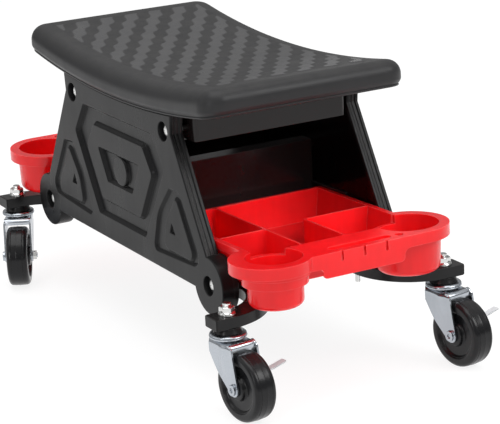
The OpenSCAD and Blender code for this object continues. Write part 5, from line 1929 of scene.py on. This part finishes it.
@dataclass(frozen=True)
class PhotoCamera:
    """The camera at the photograph's angle.

    Attributes:
        azimuth: turn from looking along +Y, in degrees.
        elevation: height over the horizon, in degrees.
        roll: turn about the line of sight, in degrees.
        distance: distance from the target.
        target: the point looked at.
        focal_px: focal length in pixels of the photograph.
        centre_px: where the line of sight meets the photograph.
        image_px: the photograph's width and height.
        SENSOR: width of the sensor.
        FARTHEST: distance up to which things show, in metres.
    """

    azimuth: float = 61.69
    elevation: float = 16.62
    roll: float = -2.78
    distance: float = 2440.62
    target: Point3 = (26.17, 22.10, 137.94)
    focal_px: float = 2050.23
    centre_px: Point2 = (240.52, 206.78)
    image_px: tuple[int, int] = (500, 424)
    SENSOR = 36.0
    FARTHEST = 50.0

    def build(self) -> None:
        """Makes the camera and makes it the scene's."""
        az, el, roll = (math.radians(v) for v in (self.azimuth, self.elevation, self.roll))
        back = Vector((math.sin(az) * math.cos(el), -math.cos(az) * math.cos(el), math.sin(el)))
        right = (-back).cross(Vector((0.0, 0.0, 1.0))).normalized()
        up = right.cross(-back)
        across = math.cos(roll) * right + math.sin(roll) * up
        upward = -math.sin(roll) * right + math.cos(roll) * up
        place = (Vector(self.target) + self.distance * back) * MM
        width, height = self.image_px
        data = bpy.data.cameras.new("photo_camera")
        data.sensor_width = self.SENSOR
        data.lens = self.focal_px * self.SENSOR / width
        data.shift_x = (width / 2 - self.centre_px[0]) / width
        data.shift_y = (self.centre_px[1] - height / 2) / width
        data.clip_end = self.FARTHEST
        camera = bpy.data.objects.new("photo_camera", data)
        bpy.context.scene.collection.objects.link(camera)
        camera.matrix_world = Matrix((*zip(across, upward, back, place), (0.0, 0.0, 0.0, 1.0)))
        bpy.context.scene.camera = camera


@dataclass(frozen=True)
class SoftBox:
    """A rectangular studio light.

    Attributes:
        name: the light's name.
        place: its centre, in metres.
        aim: the point that it faces, in metres.
        size: its width and height, in metres.
        power: its power in watts.
        spread: the width of its beam, in degrees.
        seen: whether it shows where it stands in the view.
    """

    name: str
    place: Point3
    aim: Point3
    size: tuple[float, float]
    power: float
    spread: float = 180.0
    seen: bool = True

    def build(self) -> None:
        """Makes the light."""
        data = bpy.data.lights.new(self.name, "AREA")
        data.shape = "RECTANGLE"
        data.size, data.size_y = self.size
        data.energy = self.power
        data.spread = math.radians(self.spread)
        lamp = bpy.data.objects.new(self.name, data)
        lamp.location = self.place
        lamp.visible_camera = self.seen
        lamp.rotation_mode = "QUATERNION"
        lamp.rotation_quaternion = (Vector(self.aim) - Vector(self.place)).to_track_quat("-Z", "Y")
        bpy.context.scene.collection.objects.link(lamp)


class Studio:
    """Plain pale floor, soft lights and a bright surround.

    Attributes:
        LIGHTS: the lights round the object and the two that fill its bays.
        SURROUND: strength of the surround at the horizon and high up.
        HIGH: height of a direction from where the surround is at its strongest.
        FLOOR: linear colour of the floor.
        FLOOR_LIGHT: linear colour of the lighter patches of its mottle.
        FLOOR_GLOW: light that the floor gives off.
        FLOOR_REACH: half length of the floor.
    """

    LIGHTS = (
        SoftBox("overhead", (0.2, -0.2, 2.6), (0.0, 0.0, 0.2), (2.4, 2.4), 38.0),
        SoftBox("near_side", (-0.9, -2.6, 1.3), (0.0, 0.0, 0.2), (1.8, 1.6), 6.0),
        SoftBox("front", (1.65, 0.95, 1.45), (0.15, 0.0, 0.15), (1.1, 0.9), 17.0),
        SoftBox("corner_strip", (1.2, -2.1, 0.85), (0.15, -0.1, 0.2), (0.25, 0.9), 6.0, seen=False),
        SoftBox("front_bay", (0.46, 0.03, 0.33), (0.12, 0.0, 0.14), (0.16, 0.12), 0.065, 30.0, False),
        SoftBox("rear_bay", (-0.46, -0.03, 0.33), (-0.12, 0.0, 0.14), (0.16, 0.12), 0.065, 30.0, False),
    )
    SURROUND = (0.14, 0.70)
    HIGH = 0.8
    FLOOR = (0.20, 0.20, 0.20)
    FLOOR_LIGHT = (0.202, 0.202, 0.202)
    FLOOR_GLOW = 0.86
    FLOOR_REACH = 30000.0

    def build(self) -> None:
        """Makes the floor, the lights and the surround."""
        for light in self.LIGHTS:
            light.build()
        self._surround()
        self._floor()
        bpy.context.scene.view_settings.view_transform = "Standard"

    def _surround(self) -> None:
        """Makes the surround: white where it is seen, and brighter overhead where it lights."""
        world = bpy.data.worlds.new("surround")
        world.use_nodes = True
        tree = Tree(world.node_tree)
        height = tree.add("SeparateXYZ", in_Vector=tree.add("TexCoord").outputs["Generated"])
        strength = tree.remap(height.outputs["Z"], 0.0, self.HIGH, *self.SURROUND)
        seen = tree.add("LightPath").outputs["Is Camera Ray"]
        background = tree.add("Background", in_Color=(1.0, 1.0, 1.0, 1.0),
                              in_Strength=tree.math("MAXIMUM", strength, seen))
        tree.add("OutputWorld", in_Surface=background.outputs[0])
        bpy.context.scene.world = world

    def _floor(self) -> None:
        """Makes the pale floor, with a faint mottle."""
        draft = Draft()
        reach = self.FLOOR_REACH
        draft.fill(draft.loop(((-reach, -reach, 0.0), (reach, -reach, 0.0), (reach, reach, 0.0),
                               (-reach, reach, 0.0))), drop=2)
        material, tree, shader = new_material(
            "pale_floor", in_Roughness=0.9, in_Specular_IOR_Level=0.1,
            in_Emission_Color=(1.0, 1.0, 1.0, 1.0), in_Emission_Strength=self.FLOOR_GLOW)
        mottle = tree.remap(tree.noise(in_Scale=3.0, in_Detail=2.0), 0.4, 0.6)
        tree.join(tree.mix(mottle, self.FLOOR, self.FLOOR_LIGHT), shader.inputs["Base Color"])
        draft.piece("floor", material)


def main() -> None:
    """Builds the scene in order: camera, studio, seat, panels, casters, bolts, then the CAD nodes."""
    logging.basicConfig(level=logging.INFO, format="%(message)s")
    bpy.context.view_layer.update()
    PhotoCamera().build()
    Studio().build()
    materials = Materials()
    saddle = Saddle()
    sizes = PanelSizes()
    Seat(saddle).build(materials)
    for side in Side:
        SidePanel(side, sizes, saddle).build(materials)
    build_casters(materials)
    PanelBolts().build(sizes, materials.bolt)
    for dressing in DRESSINGS:
        dressing.dress(frame["nodes"], materials)


if __name__ == "__main__":
    main()
